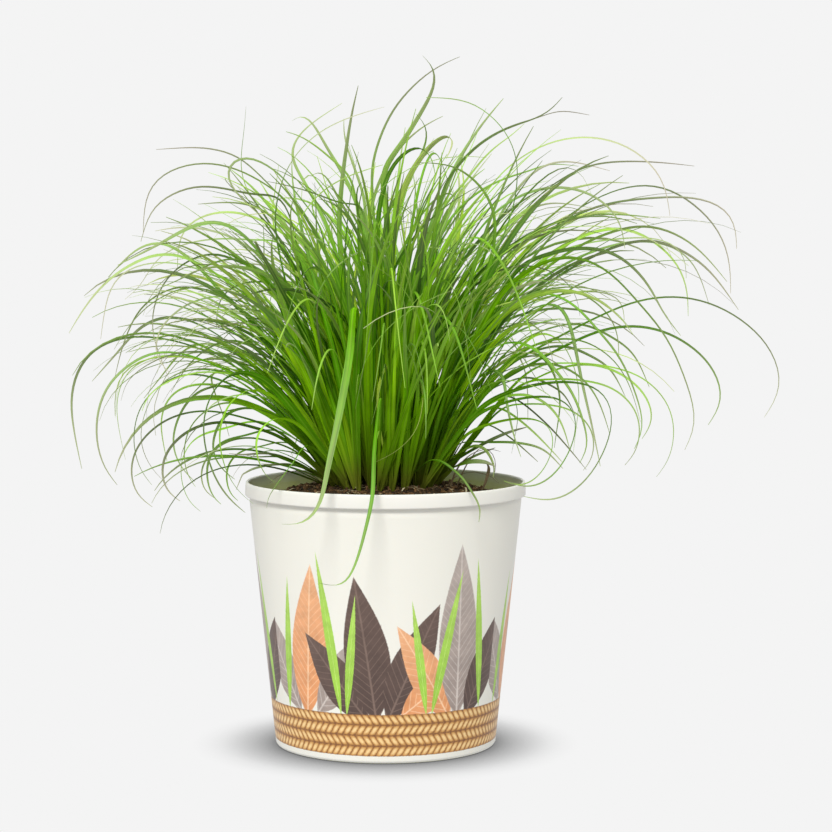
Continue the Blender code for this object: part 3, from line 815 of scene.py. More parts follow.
laneLeaves = {
    0: [(50, 195), (75, 222), (95, 231), (115, 233.5), (130, 234), (143, 231), (150, 224), (150.5, 212)],
    1: [(60, 158), (80, 163), (95, 162), (108, 158.5), (117, 152), (123, 143), (124.5, 132), (122, 121),
        (117, 114.5)],
    2: [(50, 195), (75, 223), (92, 234), (107, 239), (120, 238), (132, 231), (142, 221), (147.5, 208),
        (148, 193)],
    3: [(40, 195), (60, 228), (75, 241), (88, 247.5), (103, 249), (118, 248.5), (132, 247)],
    4: [(50, 165), (70, 178), (85, 180), (98, 174), (107, 167), (113.5, 153)],
    5: [(45, 215), (60, 241), (70, 248), (80, 249), (96, 245)],
    6: [(58, 170), (72, 175), (80, 165), (83.5, 150), (82, 135), (81, 125)],
    7: [(22, 225), (30, 246), (42, 258), (55, 264.5), (66, 267.5), (74, 270.5), (87, 268.5)],
    17: [(-13.4, 150), (-45, 215), (-60, 238), (-62, 250), (-60.5, 260), (-59.5, 272)],
    18: [(-50, 137), (-70, 135), (-82, 131), (-88, 122), (-88, 112), (-85, 104), (-80, 99.7)],
    19: [(-60, 165), (-80, 180), (-95, 183), (-106, 178), (-114, 169), (-126, 155.5)],
    20: [(-45, 145), (-65, 158), (-80, 161), (-92, 158), (-100, 150), (-105, 138), (-105.5, 128),
        (-101, 118), (-94, 111)],
    21: [(-22, 200), (-40, 228), (-52, 241), (-62, 250.5), (-70, 253.5), (-80, 255), (-98, 254)],
    22: [(-45, 147), (-65, 162), (-85, 171.5), (-105, 175), (-118, 173), (-127, 168), (-133, 159),
        (-135.5, 147), (-134, 133), (-131, 118)],
    23: [(-42, 122), (-52, 124.5), (-62, 124), (-68, 124.5)],
    24: [(-28, 200), (-40, 229), (-50, 238), (-62, 245), (-75, 248.5), (-88, 247), (-98, 242), (-103, 234),
        (-104, 218)],
    25: [(-45, 133), (-65, 141), (-80, 143), (-93, 140), (-103, 133), (-109, 124), (-110, 114), (-107, 106),
        (-101, 101.5)],
    26: [(-40, 165), (-55, 187), (-70, 199), (-85, 208), (-97, 210), (-108, 206), (-120, 198), (-130, 186),
        (-136, 176)],
    27: [(-35, 180), (-50, 205), (-62, 219), (-73, 224), (-85, 221), (-97, 214), (-115, 205)],
    28: [(-45, 143), (-65, 158), (-85, 167), (-100, 168), (-110, 163), (-118, 156), (-123, 147),
        (-125, 133), (-122, 119), (-116, 111)],
    29: [(-60, 160), (-80, 168), (-95, 166), (-105, 161), (-112, 155), (-114, 147)],
    30: [(-40, 143), (-52, 156), (-62, 160), (-70, 157), (-76, 149), (-79, 138), (-78, 126), (-74, 114),
        (-68, 105), (-61, 99)],
    42: [(40, 143), (60, 153), (78, 155.5), (90, 153.5), (97, 147), (98, 136), (93, 122), (86, 112),
        (78, 106), (70, 104), (60, 106)],
    43: [(45, 185), (65, 205), (82, 209), (97, 202), (108, 190), (122, 173), (133, 145), (134, 135),
        (129, 126)],
    44: [(45, 155), (62, 170), (78, 174), (90, 171), (100, 163), (106, 152), (110, 138)],
    45: [(30, 205), (45, 238), (60, 252), (75, 258.5), (90, 259.5), (103, 256), (113, 249), (120, 240),
        (122, 226)],
    46: [(35, 140), (50, 160), (70, 172), (90, 182.5), (108, 190), (125, 192), (140, 189), (153, 182),
        (163, 173), (169, 162), (170, 151), (163, 140)],
    47: [(38, 140), (50, 149), (58, 147), (70, 137), (80, 126), (87, 117.5)],
}

# (how far back or to the front the tip lies, how soon it gets there, the points seen)
leaningLeaves = {
    14: (64, 1.0, [(-20, 205), (-28, 228), (-35, 241), (-40, 250), (-39, 257), (-33, 264), (-18.5, 273.5)]),
    31: (-60, 0.75, [(-35, 170), (-47, 215), (-47, 232), (-43, 245), (-37, 254), (-28, 262), (-15, 268),
        (-1, 272)]),
    33: (-80, 0.5, [(-13, 188), (-15.4, 168), (-19.7, 143.5), (-25.8, 115), (-28.5, 102), (-35.6, 93.5),
        (-45, 94)]),
    34: (-62, 1.0, [(-4, 210), (-1, 238), (5, 250), (13, 255.5), (19, 252), (21, 243)]),
    35: (-86, 0.36, [(-2, 150), (-5, 125), (-5.6, 106.5), (-8.6, 92.5), (-12.6, 78), (-18.4, 67),
        (-28.7, 68.5)]),
    38: (-80, 1.0, [(3, 205), (6, 232), (14, 249), (22, 258), (27, 260), (29.5, 257), (26, 250)]),
    41: (-78, 0.4, [(50, 215), (56, 235), (57, 248), (53, 260), (45, 269), (35, 275), (18, 276)]),
}

coreLeaves = {
    20: (15, 1.0, [(15, 200), (26, 236), (34, 253), (43, 266), (51, 275.5)]),
    92: (28, 1.0, [(-6, 200), (-10, 225), (-17, 242), (-25, 255), (-31, 266), (-36, 269.7), (-39.5, 266)]),
    164: (-14, 1.4, [(-5, 200), (-6.5, 235), (-7, 246), (-3, 260), (3, 272), (12, 282), (21, 289),
        (30.5, 293)]),
    236: (-42, 1.4, [(-15, 170), (-20, 215), (-19.5, 235), (-17.5, 252), (-15, 268), (-12, 281)]),
    308: (-54, 1.0, [(2, 215), (-1, 243), (6, 254), (13, 265), (19, 275), (22, 282), (21.5, 289),
        (16.5, 293.5)]),
}

# more leaves read the same way: (shoot, tip depth, how soon, (width, tint, age), points)
extraLeaves = [
    (24, -10, 1.0, (2.6,), [(-35, 185), (-50, 206), (-65, 217), (-80, 221), (-90, 221), (-98, 219.5)]),
    (25, 20, 1.0, (1.1,), [(-40, 225), (-55, 234), (-70, 238), (-82, 238.5), (-93, 234), (-100, 228),
     (-104, 215)]),
    (28, -30, 1.0, (1.6,), [(-25, 210), (-35, 232), (-45, 244), (-55, 250.5), (-62, 251.5), (-67, 248),
     (-68, 242), (-63, 235), (-52, 225)]),
    (51, -20, 1.0, (1.8,), [(-12, 230), (-20, 247), (-30, 256), (-37, 260.5), (-42, 261.5)]),
    (50, 0, 1.0, (2.0,), [(-8, 222), (-11, 240), (-16, 254), (-18, 262), (-17.5, 267)]),
    (31, -30, 1.0, (1.5, 0.2, 0.4), [(-25, 180), (-29, 215), (-29.5, 230), (-30, 240)]),
    (34, -40, 1.0, (1.3, 0.2, 0.5), [(-8, 222), (-17, 230), (-30, 235.5), (-40, 238.5), (-50, 240.5)]),
    (23, 4, 1.0, (1.4,), [(-34, 119), (-46, 121.5), (-56, 119), (-60, 114), (-64, 109)]),
    (30, -54, 0.5, (1.3, 0.15, 0.3), [(-32, 128), (-40, 120), (-46, 112), (-50, 106), (-51, 101)]),
    (45, -30, 1.0, (1.8,), [(22, 225), (30, 246), (42, 258), (55, 264.5), (66, 267.5), (72, 272), (75, 276)]),
    (5, 20, 1.0, (1.8,), [(20, 215), (33, 239), (45, 254), (54, 260), (59, 265)]),
    (46, -15, 1.0, (1.7,), [(45, 180), (70, 205), (90, 217), (108, 222), (120, 220), (131, 214), (139, 206),
     (145.5, 198)]),
    (0, 20, 1.0, (1.7,), [(45, 175), (70, 198), (95, 212), (112, 216), (125, 212), (138, 203), (150.5, 186)]),
    (2, 40, 1.0, (1.2,), [(45, 178), (72, 203), (98, 214), (115, 215), (126, 211), (133, 203), (138, 188)]),
    (43, -45, 1.0, (2.2, 0.1, 0.6), [(50, 195), (70, 210), (87, 212.5), (98, 210), (107, 203), (114, 194),
     (118, 185), (126, 175)]),
    (47, -6, 1.0, (1.4,), [(30, 128), (45, 129.5), (58, 129), (68, 126), (76, 118)]),
    (44, -40, 1.0, (1.8, 0.1, 0.6), [(45, 168), (60, 185), (70, 189.5), (76, 187), (80, 175), (84, 155),
     (88, 138), (92, 119)]),
    (42, -46, 1.0, (1.5, 0.1, 0.5), [(30, 145), (44, 160), (50, 158), (52, 145), (55, 132), (58, 123)]),
    (46, -8, 1.0, (2.8,), [(30, 122), (42, 129), (52, 133.5), (61, 136)]),
    (1, 12, 1.0, (2.0,), [(30, 119), (38, 123.5), (47, 127)]),
    (45, -12, 1.0, (1.6,), [(30, 124), (38, 128), (43, 126), (46.5, 119), (46, 114)]),
    (41, -64, 0.42, (1.1, 0.0, 0.3), [(20, 122), (31, 116), (37, 108), (40.5, 101), (40, 95)]),
    (47, -14, 1.0, (3.2,), [(28, 118), (35, 121), (42, 121), (47, 119)]),
    (26, -20, 1.0, (1.2, 0.2, 0.9), [(-54, 190.5), (-71, 199), (-83, 205), (-97, 206.5), (-107, 204.5),
     (-114, 200.5), (-118.5, 192), (-121.5, 173.5)]),
    (23, 10, 1.0, (1.4, 0.3, 0.8), [(-51, 182), (-68, 190.5), (-82.5, 196), (-92.5, 195), (-104, 187.5),
     (-110, 176.5), (-113, 168), (-115.5, 157.5)]),
    (26, -34, 1.0, (1.1, 0.1, 0.9), [(-48.5, 196), (-59.5, 204.5), (-71, 210.5), (-80, 209), (-89.5, 203.5),
     (-97, 193.5), (-100, 179), (-97, 168), (-92.5, 156.5)]),
    (25, 16, 1.0, (1.3, 0.2, 0.8), [(-40, 207.5), (-54, 215), (-68, 216.5), (-82.5, 215), (-94, 210.5),
     (-100, 204.5), (-104, 196), (-111, 190.5)]),
    (27, -40, 1.0, (1.1, 0.1, 0.9), [(-59.5, 185), (-78.5, 190.5), (-89.5, 185), (-97, 176.5), (-98, 166),
     (-92.5, 159.5)]),
    (25, 0, 1.0, (2.0, 0.2, 0.5), [(-54, 176.5), (-68.5, 192), (-80, 205), (-91, 213.5), (-97, 215),
     (-106, 212), (-118, 200)]),
    (37, -50, 0.8, (0.8, 1.0, 0.35), [(-3, 140), (-2, 158), (4, 164), (12, 160), (16, 152), (15, 140),
     (11.6, 132), (4, 125), (-4, 121)]),
]

# looks of leading leaves that stand out: (width, tint, age), with None for what is as usual
ownLooks = {
    30: (3.0, 0.1, 0.5), 19: (1.9, 0.1, 0.7), 27: (2.6, 0.15, 0.5), 25: (1.4, 0.05, 0.8),
    20: (1.5, 0.05, 0.8), 29: (1.5, 0.1, 0.8), 0: (1.3, None, 1.0), 2: (1.3, None, 1.0),
    3: (1.6, None, 1.0), 5: (1.3, None, 1.0), 7: (1.4, None, 1.0), 45: (1.3, None, 1.0),
    46: (1.7, 0.2, 0.8), 43: (2.1, 0.3, 0.7), 42: (1.7, 0.1, 0.6), 28: (1.3, 0.1, 0.7), 22: (1.7, 0.1, 0.7),
    26: (2.2, 0.3, 0.7), 21: (1.3, None, 1.0), 24: (1.2, None, 1.0), 31: (2.1, None, 0.8),
    14: (1.6, 0.2, 0.6), 38: (2.9, 0.7, 0.7), 34: (2.3, 0.05, 0.1), 48: (2.4, 0.15, 0.5),
    49: (2.1, 0.2, 0.5), 50: (1.5, 0.3, 0.9), 51: (2.4, 0.25, 0.7), 52: (2.8, 0.35, 0.7),
    36: (1.2, 0.2, 0.1), 37: (1.2, 0.2, 0.1), 39: (1.3, 0.15, 0.1), 40: (1.2, 0.2, 0.1),
    33: (4.0, 0.2, 0.5), 35: (2.0, 0.12, 0.35),
}

# two leaves hang down over the front with their faces to it
hangingLeaves = (33, 35)
# and a few at the crown turn their faces to the camera
facingLeaves = (14, 34, 38, 48, 49, 51, 52)

# leaves at the front and back follow one arch: (reach from the axis, crown height, tip height)
archShape = ((0.12, 0.5), (0.32, 0.86), (0.56, 1.0), (0.8, 0.86))
archedLeaves = {
    8: (120, 190, 150), 9: (138, 222, 185), 10: (112, 256, 232), 11: (105, 170, 122), 12: (142, 226, 170),
    13: (118, 182, 128), 15: (98, 160, 112), 16: (135, 215, 160), 32: (96, 206, 168), 36: (132, 224, 170),
    37: (84, 196, 158), 39: (78, 186, 148), 40: (112, 218, 172),
}


def laneAngle(lane):
    return math.tau * lane / clump["lanes"]


def laneRoot(lane):
    radius = clump["ringRadius"][clump["laneRings"][lane]]
    radius += clump["ringUnevenness"] * math.sin(clump["ringWave"] * lane)
    return np.array((*polar(radius, laneAngle(lane)), peatHeight(radius)))


def ontoLane(across, height, angle):
    # the place in a lane's upright plane that the camera sees at (across, height)
    eye = np.array(clump["viewpoint"])
    top = -eye[1] * math.cos(angle) + eye[0] * math.sin(angle)
    bottom = -eye[1] * math.cos(angle) - (across - eye[0]) * math.sin(angle)
    return eye + (np.array((across, 0.0, height)) - eye) * (top / bottom)


def atDepth(across, height, depth):
    # the place at y = depth that the camera sees at (across, height)
    eye = np.array(clump["viewpoint"])
    return eye + (np.array((across, 0.0, height)) - eye) * ((depth - eye[1]) / -eye[1])


def leaningPath(root, tipDepth, ease, seen):
    points = [root]
    for i, (across, height) in enumerate(seen):
        share = ((i + 1) / len(seen)) ** ease
        points.append(atDepth(across, height, root[1] + (tipDepth - root[1]) * share))
    return points


def archedPath(lane, reach, crown, tip):
    root = laneRoot(lane)
    outward = np.array((*polar(1, laneAngle(lane)), 0.0))
    up = np.array((0.0, 0.0, 1.0))
    run = reach - math.hypot(root[0], root[1])
    points = [root + outward * run * share + up * (crown - root[2]) * lift for share, lift in archShape]
    return [root, *points, root + outward * run + up * (tip - root[2])]


def leadingPath(shoot):
    # points of the shoot's leading leaf, and the direction that the shoot faces
    if shoot >= clump["lanes"]:
        degrees = list(coreLeaves)[shoot - clump["lanes"]]
        angle = math.radians(degrees)
        root = np.array((*polar(clump["coreRadius"], angle), peat["top"]))
        return leaningPath(root, *coreLeaves[degrees]), angle
    angle = laneAngle(shoot)
    if shoot in laneLeaves:
        return [laneRoot(shoot)] + [ontoLane(x, z, angle) for x, z in laneLeaves[shoot]], angle
    if shoot in leaningLeaves:
        return leaningPath(laneRoot(shoot), *leaningLeaves[shoot]), angle
    return archedPath(shoot, *archedLeaves[shoot]), angle


def beforeRim(curve, rounds):
    # a leaf that hangs over the front clears the rim towards the camera, which sees it as before
    toward = unit(np.array(clump["viewpoint"]) - curve)
    level = np.linalg.norm(toward[:, :2], axis=1)
    along = np.sum(curve[:, :2] * toward[:, :2], axis=1) / level
    clear = pot["rimRadius"] + clump["rimClearance"]
    inside = along ** 2 + clear ** 2 - np.sum(curve[:, :2] ** 2, axis=1)
    needed = np.maximum((np.sqrt(np.maximum(inside, 0)) - along) / level, 0)
    falling = np.arange(len(curve)) > np.argmax(curve[:, 2])
    needed *= falling & (curve[:, 2] < pot["height"] + clump["rimClearance"])
    move = needed.copy()
    for _ in range(rounds):
        move = eased(np.maximum(move, needed), 1)
    return curve + toward * move[:, None]


def overRim(curve):
    # a leaf that comes down on the pot lies over its rim
    radius = np.hypot(curve[:, 0], curve[:, 1])
    near = (radius > peatEdge - clump["rimReachIn"]) & (radius < pot["rimRadius"] + clump["rimClearance"])
    rest = pot["height"] + clump["rimClearance"]
    spacing = np.linalg.norm(np.diff(curve, axis=0), axis=1).mean()
    rounds = int(2 * (clump["rimEasing"] / spacing) ** 2)
    if curve[-1, 2] < rest and curve[-1, 1] < -45:
        return beforeRim(curve, rounds)
    if not np.any(curve[near, 2] < rest):
        return curve
    lifted = curve.copy()
    for _ in range(rounds):
        lifted[near, 2] = np.maximum(lifted[near, 2], rest)
        eased(lifted[:, 2], 1)
    lifted[near, 2] = np.maximum(lifted[near, 2], rest - 0.6)
    return lifted


def throughPot(curve):
    # whether a leaf would pass through the pot's wall or into the peat, past its first four places
    radius = np.hypot(curve[:, 0], curve[:, 1])[4:]
    height = curve[4:, 2]
    rim = pot["rimRadius"]
    wall = (radius > rim - 10) & (radius < rim + 3.5) & (height < pot["height"] + 3.5)
    sunk = (radius <= rim - 4) & (height < peat["top"] + 1.5)
    return bool(np.any(wall | sunk))


def hidesHanging(curve):
    # whether a leaf at the front would hang before one of the two leaves over the front
    eye = np.array(clump["viewpoint"])
    front = curve[curve[:, 1] < -24]
    if not len(front):
        return False
    seen = eye + (front - eye) * (-eye[1] / (front[:, 1:2] - eye[1]))
    for shoot in hangingLeaves:
        line = smoothCurve([(x, 0.0, z) for x, z in leaningLeaves[shoot][2]], 24)
        gaps = np.linalg.norm((seen[:, None, :] - line[None])[:, :, [0, 2]], axis=2)
        if gaps.min() < clump["hangingGap"]:
            return True
    return False


def outOfPlace(curve):
    # whether a leaf leaves the clump's outline, cuts the pot, or hides a leaf that the photograph shows
    x, y, z = curve.T
    radius = np.maximum(np.hypot(x, y), 0.1)
    reach = clump["crownReach"] + clump["crownSkew"] * x / radius
    tall = np.any(z > clump["crownTop"] - clump["crownFall"] * (radius / reach) ** 1.5)
    wide = np.hypot(x - clump["middle"], y - clump["middle"]).max() > clump["widest"]
    return throughPot(curve) or z.min() < clump["lowest"] or wide or tall or hidesHanging(curve)


leaf = {
    "sections": 24,
    "leadingSections": 60,
    "leadingTwist": (0.7, 1.5),    # radians from foot to tip, either way
    "leadingBlunt": 3.6,           # how late a blade narrows to its tip
    "leadingShade": 0.5,
    "leadingWidths": (1.2, 2.1),
    "blunt": 2.1,
    "leavesPerShoot": 15,
    "tries": 14,                   # to place a leaf before it is left out
    "rootDepth": 1.5,
    "fewer": {"core": 0, "b": 2, "c": 6, "d": 11},   # leaves left out of a shoot at the sides
    "thick": 0.34,
    "hair": 0.22,                  # width at the tip
    "fold": 0.16,                  # depth of the channel against the width
    "widths": (1.4, 3.7),
    "baseShare": 0.42,             # a blade's width at the peat, and how soon it has all of it
    "widensOver": 45.0,
    "faceTurn": 0.45,              # how unevenly the blades of a shoot face
    "twist": 0.8,
    "fan": (3.5, 7.0),             # degrees either side of the shoot
    "wispShare": 0.38,
    "wispWidths": (0.7, 1.3),
    "lean": {"core": (5, 4), "b": (16, 4), "c": (27, 5), "d": (34, 6)},    # degrees: middle, spread
    "lengths": {"core": (105, 195), "b": (90, 190), "c": (95, 180), "d": (80, 160)},
    "droop": (30, 120),            # degrees from foot to tip
    "droopLate": (1.3, 2.6),       # how late the leaf bends down
    "lowLeaves": {"core": 0, "b": 0, "c": 0, "d": 2},
    "lowLean": (48, 70),
    "lowLengths": (40, 95),
    "lowWidths": (0.8, 2.0),
    "lowOverPeat": 50.0,           # nearer the axis than this, a low leaf stays above the peat
    "lowFloor": 85.0,              # and its tip above this
    "tints": (0.15, 0.65),         # of whole shoots, from 0, deep green, to 1, yellow green
    "tintSpread": 0.22,            # between the leaves of a shoot
    "ages": (0.5, 0.95),
}


def growBlade(heap, curve, startSide, endSide, width, spin, tint, age, blunt=leaf["blunt"]):
    # a closed channelled ribbon along the curve
    count = len(curve)
    share = np.linspace(0, 1, count)
    steps = np.linalg.norm(np.diff(curve, axis=0), axis=1)
    length = np.concatenate([[0.0], np.cumsum(steps)])
    tangent = unit(np.gradient(curve, axis=0))
    ease = np.clip(share / 0.55, 0, 1)[:, None]
    ease = ease * ease * (3 - 2 * ease)
    side = unit(startSide * (1 - ease) + endSide * ease)
    side = unit(side - tangent * np.sum(side * tangent, axis=1)[:, None])
    up = np.cross(side, tangent)
    turn = (spin * share)[:, None]
    side, up = side * np.cos(turn) + up * np.sin(turn), up * np.cos(turn) - side * np.sin(turn)
    opening = np.clip(length / leaf["widensOver"], 0, 1)
    body = leaf["baseShare"] + (1 - leaf["baseShare"]) * opening * (2 - opening)
    spread = width * body * (1 - share ** blunt) ** 0.95 + leaf["hair"]
    half = (spread / 2)[:, None]
    fold = (leaf["fold"] * (1 - 0.6 * share))[:, None] * half * 2
    thick = np.minimum(leaf["thick"], spread * 0.4)[:, None] / 2
    ring = np.stack([curve - side * half + up * fold, curve + up * thick,
                     curve + side * half + up * fold, curve - up * thick], axis=1)
    row = 4 * np.arange(count - 1)[:, None, None]
    pattern = np.array([(0, 4, 5, 1), (1, 5, 6, 2), (2, 6, 7, 3), (3, 7, 4, 0)])[None]
    faces = (row + pattern).reshape(-1, 4).tolist()
    last = 4 * (count - 1)
    faces += [[0, 1, 2, 3], [last, last + 3, last + 2, last + 1]]
    across = np.stack([-spread / 2, 0 * spread, spread / 2, 0 * spread], axis=1)
    heap.add(ring.reshape(-1, 3), faces, along=np.repeat(share, 4), run=np.repeat(length, 4),
             across=across.reshape(-1), tint=tint, age=age)


def sweep(root, heading, rise, length, droop, power, drift, wobble):
    # a leaf's curve: it leaves at an angle of rise, and bends down more and more towards its tip
    count = leaf["sections"]
    share = np.linspace(0, 1, count)
    slope = rise - droop * share ** power
    azimuth = heading + drift * share ** 1.4 + wobble[0] * np.sin(share * wobble[1] + wobble[2]) * share
    step = np.stack([np.cos(slope) * np.cos(azimuth), np.cos(slope) * np.sin(azimuth),
                     np.sin(slope)], axis=1) * length / (count - 1)
    return root + np.vstack([np.zeros(3), np.cumsum(step[:-1], axis=0)])


leafValues = ("along", "run", "across", "tint", "age")


def waxySedgeLeaf():
    material, add = newMaterial("waxySedgeLeaf")
    along, run, across, tint, age = [
        add("Attribute", {"attribute_name": name}).outputs["Fac"] for name in leafValues]
    # veins are 0.2 mm apart, drawn 0.5 mm apart here so that they show
    lines = add("Math DIVIDE", {0: across, 1: 0.5})
    stretch = add("Math DIVIDE", {0: run, 1: 34.0})
    own = add("Math MULTIPLY", {0: tint, 1: 91.0})
    place = add("CombineXYZ", {0: lines, 1: stretch, 2: own})
    veins = add("TexNoise", {"Scale": 1.0, "Detail": 2.0, "Roughness": 0.6, "Vector": place}).outputs["Fac"]
    # paler and darker patches are about 10 mm long
    place = add("CombineXYZ", {0: across, 1: run, 2: own})
    patches = add("TexNoise", {"Scale": 0.09, "Detail": 2.0, "Vector": place}).outputs["Fac"]
    green = add("ValToRGB", {0: tint, "stops": [
        (0.0, "#3E7400"), (0.12, "#5AA000"), (0.38, "#92D200"), (0.7, "#AED81C"), (1.0, "#C8E050")]})
    mottle, patch = [
        add("MapRange", {0: share, "From Min": 0.3, "From Max": 0.7, "To Min": low, "To Max": high})
        for share, low, high in ((veins, 0.6, 1.38), (patches, 0.85, 1.15))]
    both = add("Math MULTIPLY", {0: mottle, 1: patch})
    lined = add("VectorMath SCALE", {0: green, "Scale": both})
    # the midrib is a paler line about 0.4 mm wide
    middle = add("Math ABSOLUTE", {0: across})
    rib = add("MapRange", {0: middle, "From Min": 0.3, "From Max": 0.08, "To Max": 0.3})
    ribbed = add("Mix RGBA", {0: rib, 6: lined, 7: "#ACCC48"})
    # sheaths are straw brown at the peat, then a deep green for 5 cm
    height = add("Math DIVIDE", {0: run, 1: 60.0})
    foot = add("ValToRGB", {0: height, "stops": [
        (0.0, "#5E4C22"), (0.12, "#6C6A22"), (0.3, "#5C820E"), (1.0, "#529008")]})
    footShare = add("MapRange", {0: run, "From Min": 4.0, "From Max": 62.0, "To Min": 0.82, "To Max": 0.0})
    based = add("Mix RGBA", {0: footShare, 6: ribbed.outputs[2], 7: foot})
    # tips turn olive, and on the oldest leaves straw
    tipShare = add("MapRange", {0: along, "From Min": 0.5, "From Max": 0.92})
    dried = add("Math MULTIPLY", {0: tipShare, 1: age})
    tipColour = add("Mix RGBA", {0: age, 6: "#C6C09E", 7: "#C4BEA8"})
    colour = add("Mix RGBA", {0: dried, 6: based.outputs[2], 7: tipColour.outputs[2]}).outputs[2]
    bump = add("Bump", {"Strength": 0.5, "Distance": 0.12 * mm, "Height": veins})
    skin = add("BsdfPrincipled", {
        "Roughness": 0.52, "IOR": 1.42, "Specular IOR Level": 0.1, "Base Color": colour, "Normal": bump})
    glow = add("BsdfTranslucent", {"Color": colour, "Normal": bump})
    blade = add("MixShader", {0: 0.19, 1: skin, 2: glow})
    add("OutputMaterial", {"Surface": blade})
    return material


def ownOr(own, usual):
    # a leaf's own looks, and the usual ones where it has None or nothing
    own = (*own, *usual[len(own):])
    return [second if first is None else first for first, second in zip(own, usual)]


def levelSide(curve):
    # across the leaf and level, from the way that it heads
    heading = curve[-1] - curve[len(curve) // 2]
    return unit(np.array((-heading[1], heading[0], 0.0)))


def alike(side, spread):
    return -side if np.dot(side, spread) < 0 else side


def fanPlane(axis, view):
    # square to a shoot's axis: the way that its fan faces, and the way that it spreads
    normal = unit(view - axis * np.dot(view, axis))
    return normal, np.cross(axis, normal)


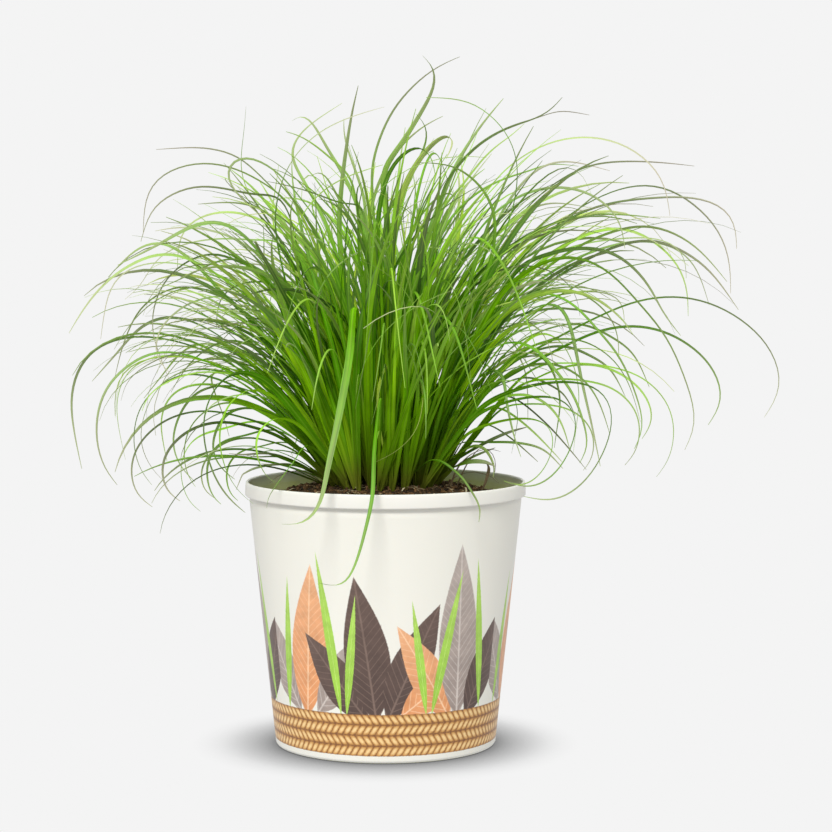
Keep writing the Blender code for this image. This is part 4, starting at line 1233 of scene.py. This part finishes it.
def buildShoot(shoot, material):
    heap = Heap(*leafValues)
    path, facing = leadingPath(shoot)
    root = np.array(path[0])
    outward = np.array((*polar(1, facing), 0.0))
    around = np.array((-outward[1], outward[0], 0.0))
    curve = eased(smoothCurve(path, leaf["leadingSections"]))
    axis = unit(curve[12] - curve[0])
    # the fan lies mostly square to the camera, each a little differently
    view = np.array((rng.normal(0, 0.55), -1.0 if root[1] < 8 else 1.0, rng.normal(0, 0.2)))
    normal, spread = fanPlane(axis, view)
    mouth = root + (0, 0, -leaf["rootDepth"])
    core = shoot >= clump["lanes"]
    ring = "core" if core else clump["laneRings"][shoot]
    # how far the shoot faces along the line of sight, to the left and to the right
    upright = abs(outward[1]) * (1 - core)
    leftward = max(0.0, -outward[0]) * (1 - core)
    rightward = max(0.0, outward[0]) * (1 - core)
    shootTint = rng.uniform(*leaf["tints"])
    # leaves that face the front and the back are younger, and stay green to the tip
    aged = 1 - 0.75 * abs(outward[1])
    shaded = 1 - 0.5 * max(0.0, -outward[1])

    def tint():
        return float(np.clip(shootTint + rng.normal(0, leaf["tintSpread"]), 0, 1))

    def age():
        return float(rng.uniform(*leaf["ages"])) * aged

    def twistOf(least, most):
        return rng.uniform(least, most) * rng.choice((-1, 1))

    # the leading leaf and its two companions, as the solid has them
    share = np.linspace(0, 1, len(curve))
    for scale, turn, step in clump["leadingThree"]:
        spin = np.array(Matrix.Rotation(math.radians(turn), 3, "Z"))
        sway = around * twistOf(*clump["sway"]) * share[:, None] ** 2
        sway = sway * upright ** 3 * (shoot in archedLeaves)
        stray = around * rng.normal(0, 1) + np.array((0, 0, 1.0)) * rng.uniform(-0.3, 1.2)
        if scale < 1:
            sway = sway + stray * clump["stray"] * share[:, None] ** 2
        own = root + ((curve - root) * scale) @ spin.T + outward * step + sway
        if scale < 1 and shoot in hangingLeaves:
            own = own[:len(own) * 5 // 9]
        own = overRim(own)
        side = alike(levelSide(own), spread)
        width = rng.uniform(*leaf["leadingWidths"]) * scale ** 0.5
        twist = twistOf(*leaf["leadingTwist"])
        shade = tint() * leaf["leadingShade"]
        old = age()
        width *= 1 - 0.4 * upright ** 3
        blunt = leaf["leadingBlunt"]
        if scale == 1 and shoot in ownLooks:
            width, shade, old = ownOr(ownLooks[shoot], (width, shade, old))
        if scale == 1 and shoot in hangingLeaves:
            # these widen only where they come over the rim
            width = width * (0.4 + 0.6 * np.clip((share - 0.38) / 0.24, 0, 1))
            side, twist, blunt = np.array((1.0, 0.1, 0.0)), 0.0, 2.8
        if scale == 1 and shoot in facingLeaves:
            side, twist = unit(np.cross((0.0, -1.0, 0.0), own[-8] - own[-20])), 0.0
        growBlade(heap, own, spread, side, width, twist, shade, old, blunt)
    for number, tipDepth, soon, looks, seen in extraLeaves:
        if number == shoot:
            seenPath = leaningPath(root, tipDepth, soon, seen)
            own = overRim(eased(smoothCurve(seenPath, leaf["leadingSections"])))
            twist = twistOf(*leaf["leadingTwist"])
            width, shade, old = ownOr(looks, (1.5, tint() * leaf["leadingShade"], 0.8 * aged))
            growBlade(heap, own, spread, levelSide(own), width, twist, shade, old, leaf["leadingBlunt"])

    # the other leaves stand more upright than the leading one
    lean = math.radians(rng.normal(*leaf["lean"][ring]))
    lean *= 1 - 0.4 * upright - 0.3 * rightward - 0.18 * leftward
    axis = unit(outward * math.sin(lean) + np.array((0, 0, math.cos(lean))) + around * rng.normal(0, 0.1))
    normal, spread = fanPlane(axis, view)
    shorter, longer = leaf["lengths"][ring]
    half = math.radians(rng.uniform(*leaf["fan"]))
    count = leaf["leavesPerShoot"] - round(leaf["fewer"][ring] * max(rightward, 0.45 * leftward))
    for i in range(count):
        place = 2 * (i + rng.uniform(0.2, 0.8)) / count - 1
        for attempt in range(leaf["tries"]):
            wisp = rng.random() < leaf["wispShare"]
            start = unit(axis * math.cos(place * half) + spread * math.sin(place * half)
                         + normal * rng.normal(0, 0.07))
            rise = math.asin(np.clip(start[2], -1, 1))
            heading = math.atan2(start[1], start[0]) + rng.normal(0, 0.6 if core else 0.22)
            length = shorter + (longer - shorter) * rng.random() ** 1.25
            length *= 1 + 0.08 * leftward + 0.1 * rightward + 0.1 * wisp
            droop = math.radians(rng.uniform(*leaf["droop"]) + 20 * abs(place) + 30 * wisp
                                 + 25 * leftward + 15 * rightward)
            droop *= 1 - 0.6 * upright
            power = rng.uniform(*leaf["droopLate"])
            wobble = (rng.normal(0, 0.2 if wisp else 0.1), rng.uniform(3, 7), rng.uniform(0, 6))
            drift = rng.normal(0, 0.6 if wisp else 0.28) * (1 + 1.5 * upright)
            foot = mouth + spread * place * 0.7 + normal * rng.uniform(-0.6, 0.6)
            blade = sweep(foot, heading, rise, length, droop, power, drift, wobble)
            if not outOfPlace(blade):
                break
        else:
            continue
        small, large = leaf["wispWidths"] if wisp else leaf["widths"]
        width = small + (large - small) * rng.random() ** 1.3
        turned = unit(spread + normal * rng.normal(0, leaf["faceTurn"]))
        growBlade(heap, blade, turned, alike(levelSide(blade), spread), width,
                  rng.normal(0, leaf["twist"]), tint() * shaded, age())
    # short low leaves lean out over the rim
    for i in range(leaf["lowLeaves"][ring] if upright < 0.6 and rightward < 0.4 else 0):
        rise = math.pi / 2 - math.radians(rng.uniform(*leaf["lowLean"]))
        heading = math.atan2(outward[1], outward[0]) + rng.normal(0, 0.5)
        blade = sweep(mouth + outward * 0.6, heading, rise, rng.uniform(*leaf["lowLengths"]),
                      math.radians(rng.uniform(50, 120)), rng.uniform(1.0, 1.8), rng.normal(0, 0.5),
                      (rng.normal(0, 0.15), rng.uniform(3, 7), rng.uniform(0, 6)))
        radius = np.hypot(blade[:, 0], blade[:, 1])
        sunk = (radius < leaf["lowOverPeat"]) & (blade[:, 2] < peat["top"] + 1)
        if sunk[4:].any() or blade[:, 2].min() < leaf["lowFloor"]:
            continue
        blade = overRim(blade)
        growBlade(heap, blade, spread, levelSide(blade), rng.uniform(*leaf["lowWidths"]),
                  rng.normal(0, 0.9), tint() * 0.6, float(rng.random()))
    piece = heap.make(f"shoot_{shoot + 1:02d}_leaves", material)
    piece.data.set_sharp_from_angle(angle=math.radians(60))
    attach(piece, "root")
    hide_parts(f"shoot_{shoot + 1:02d}")


sedge = waxySedgeLeaf()
for shoot in range(clump["lanes"] + len(coreLeaves)):
    buildShoot(shoot, sedge)
print("shoots made")
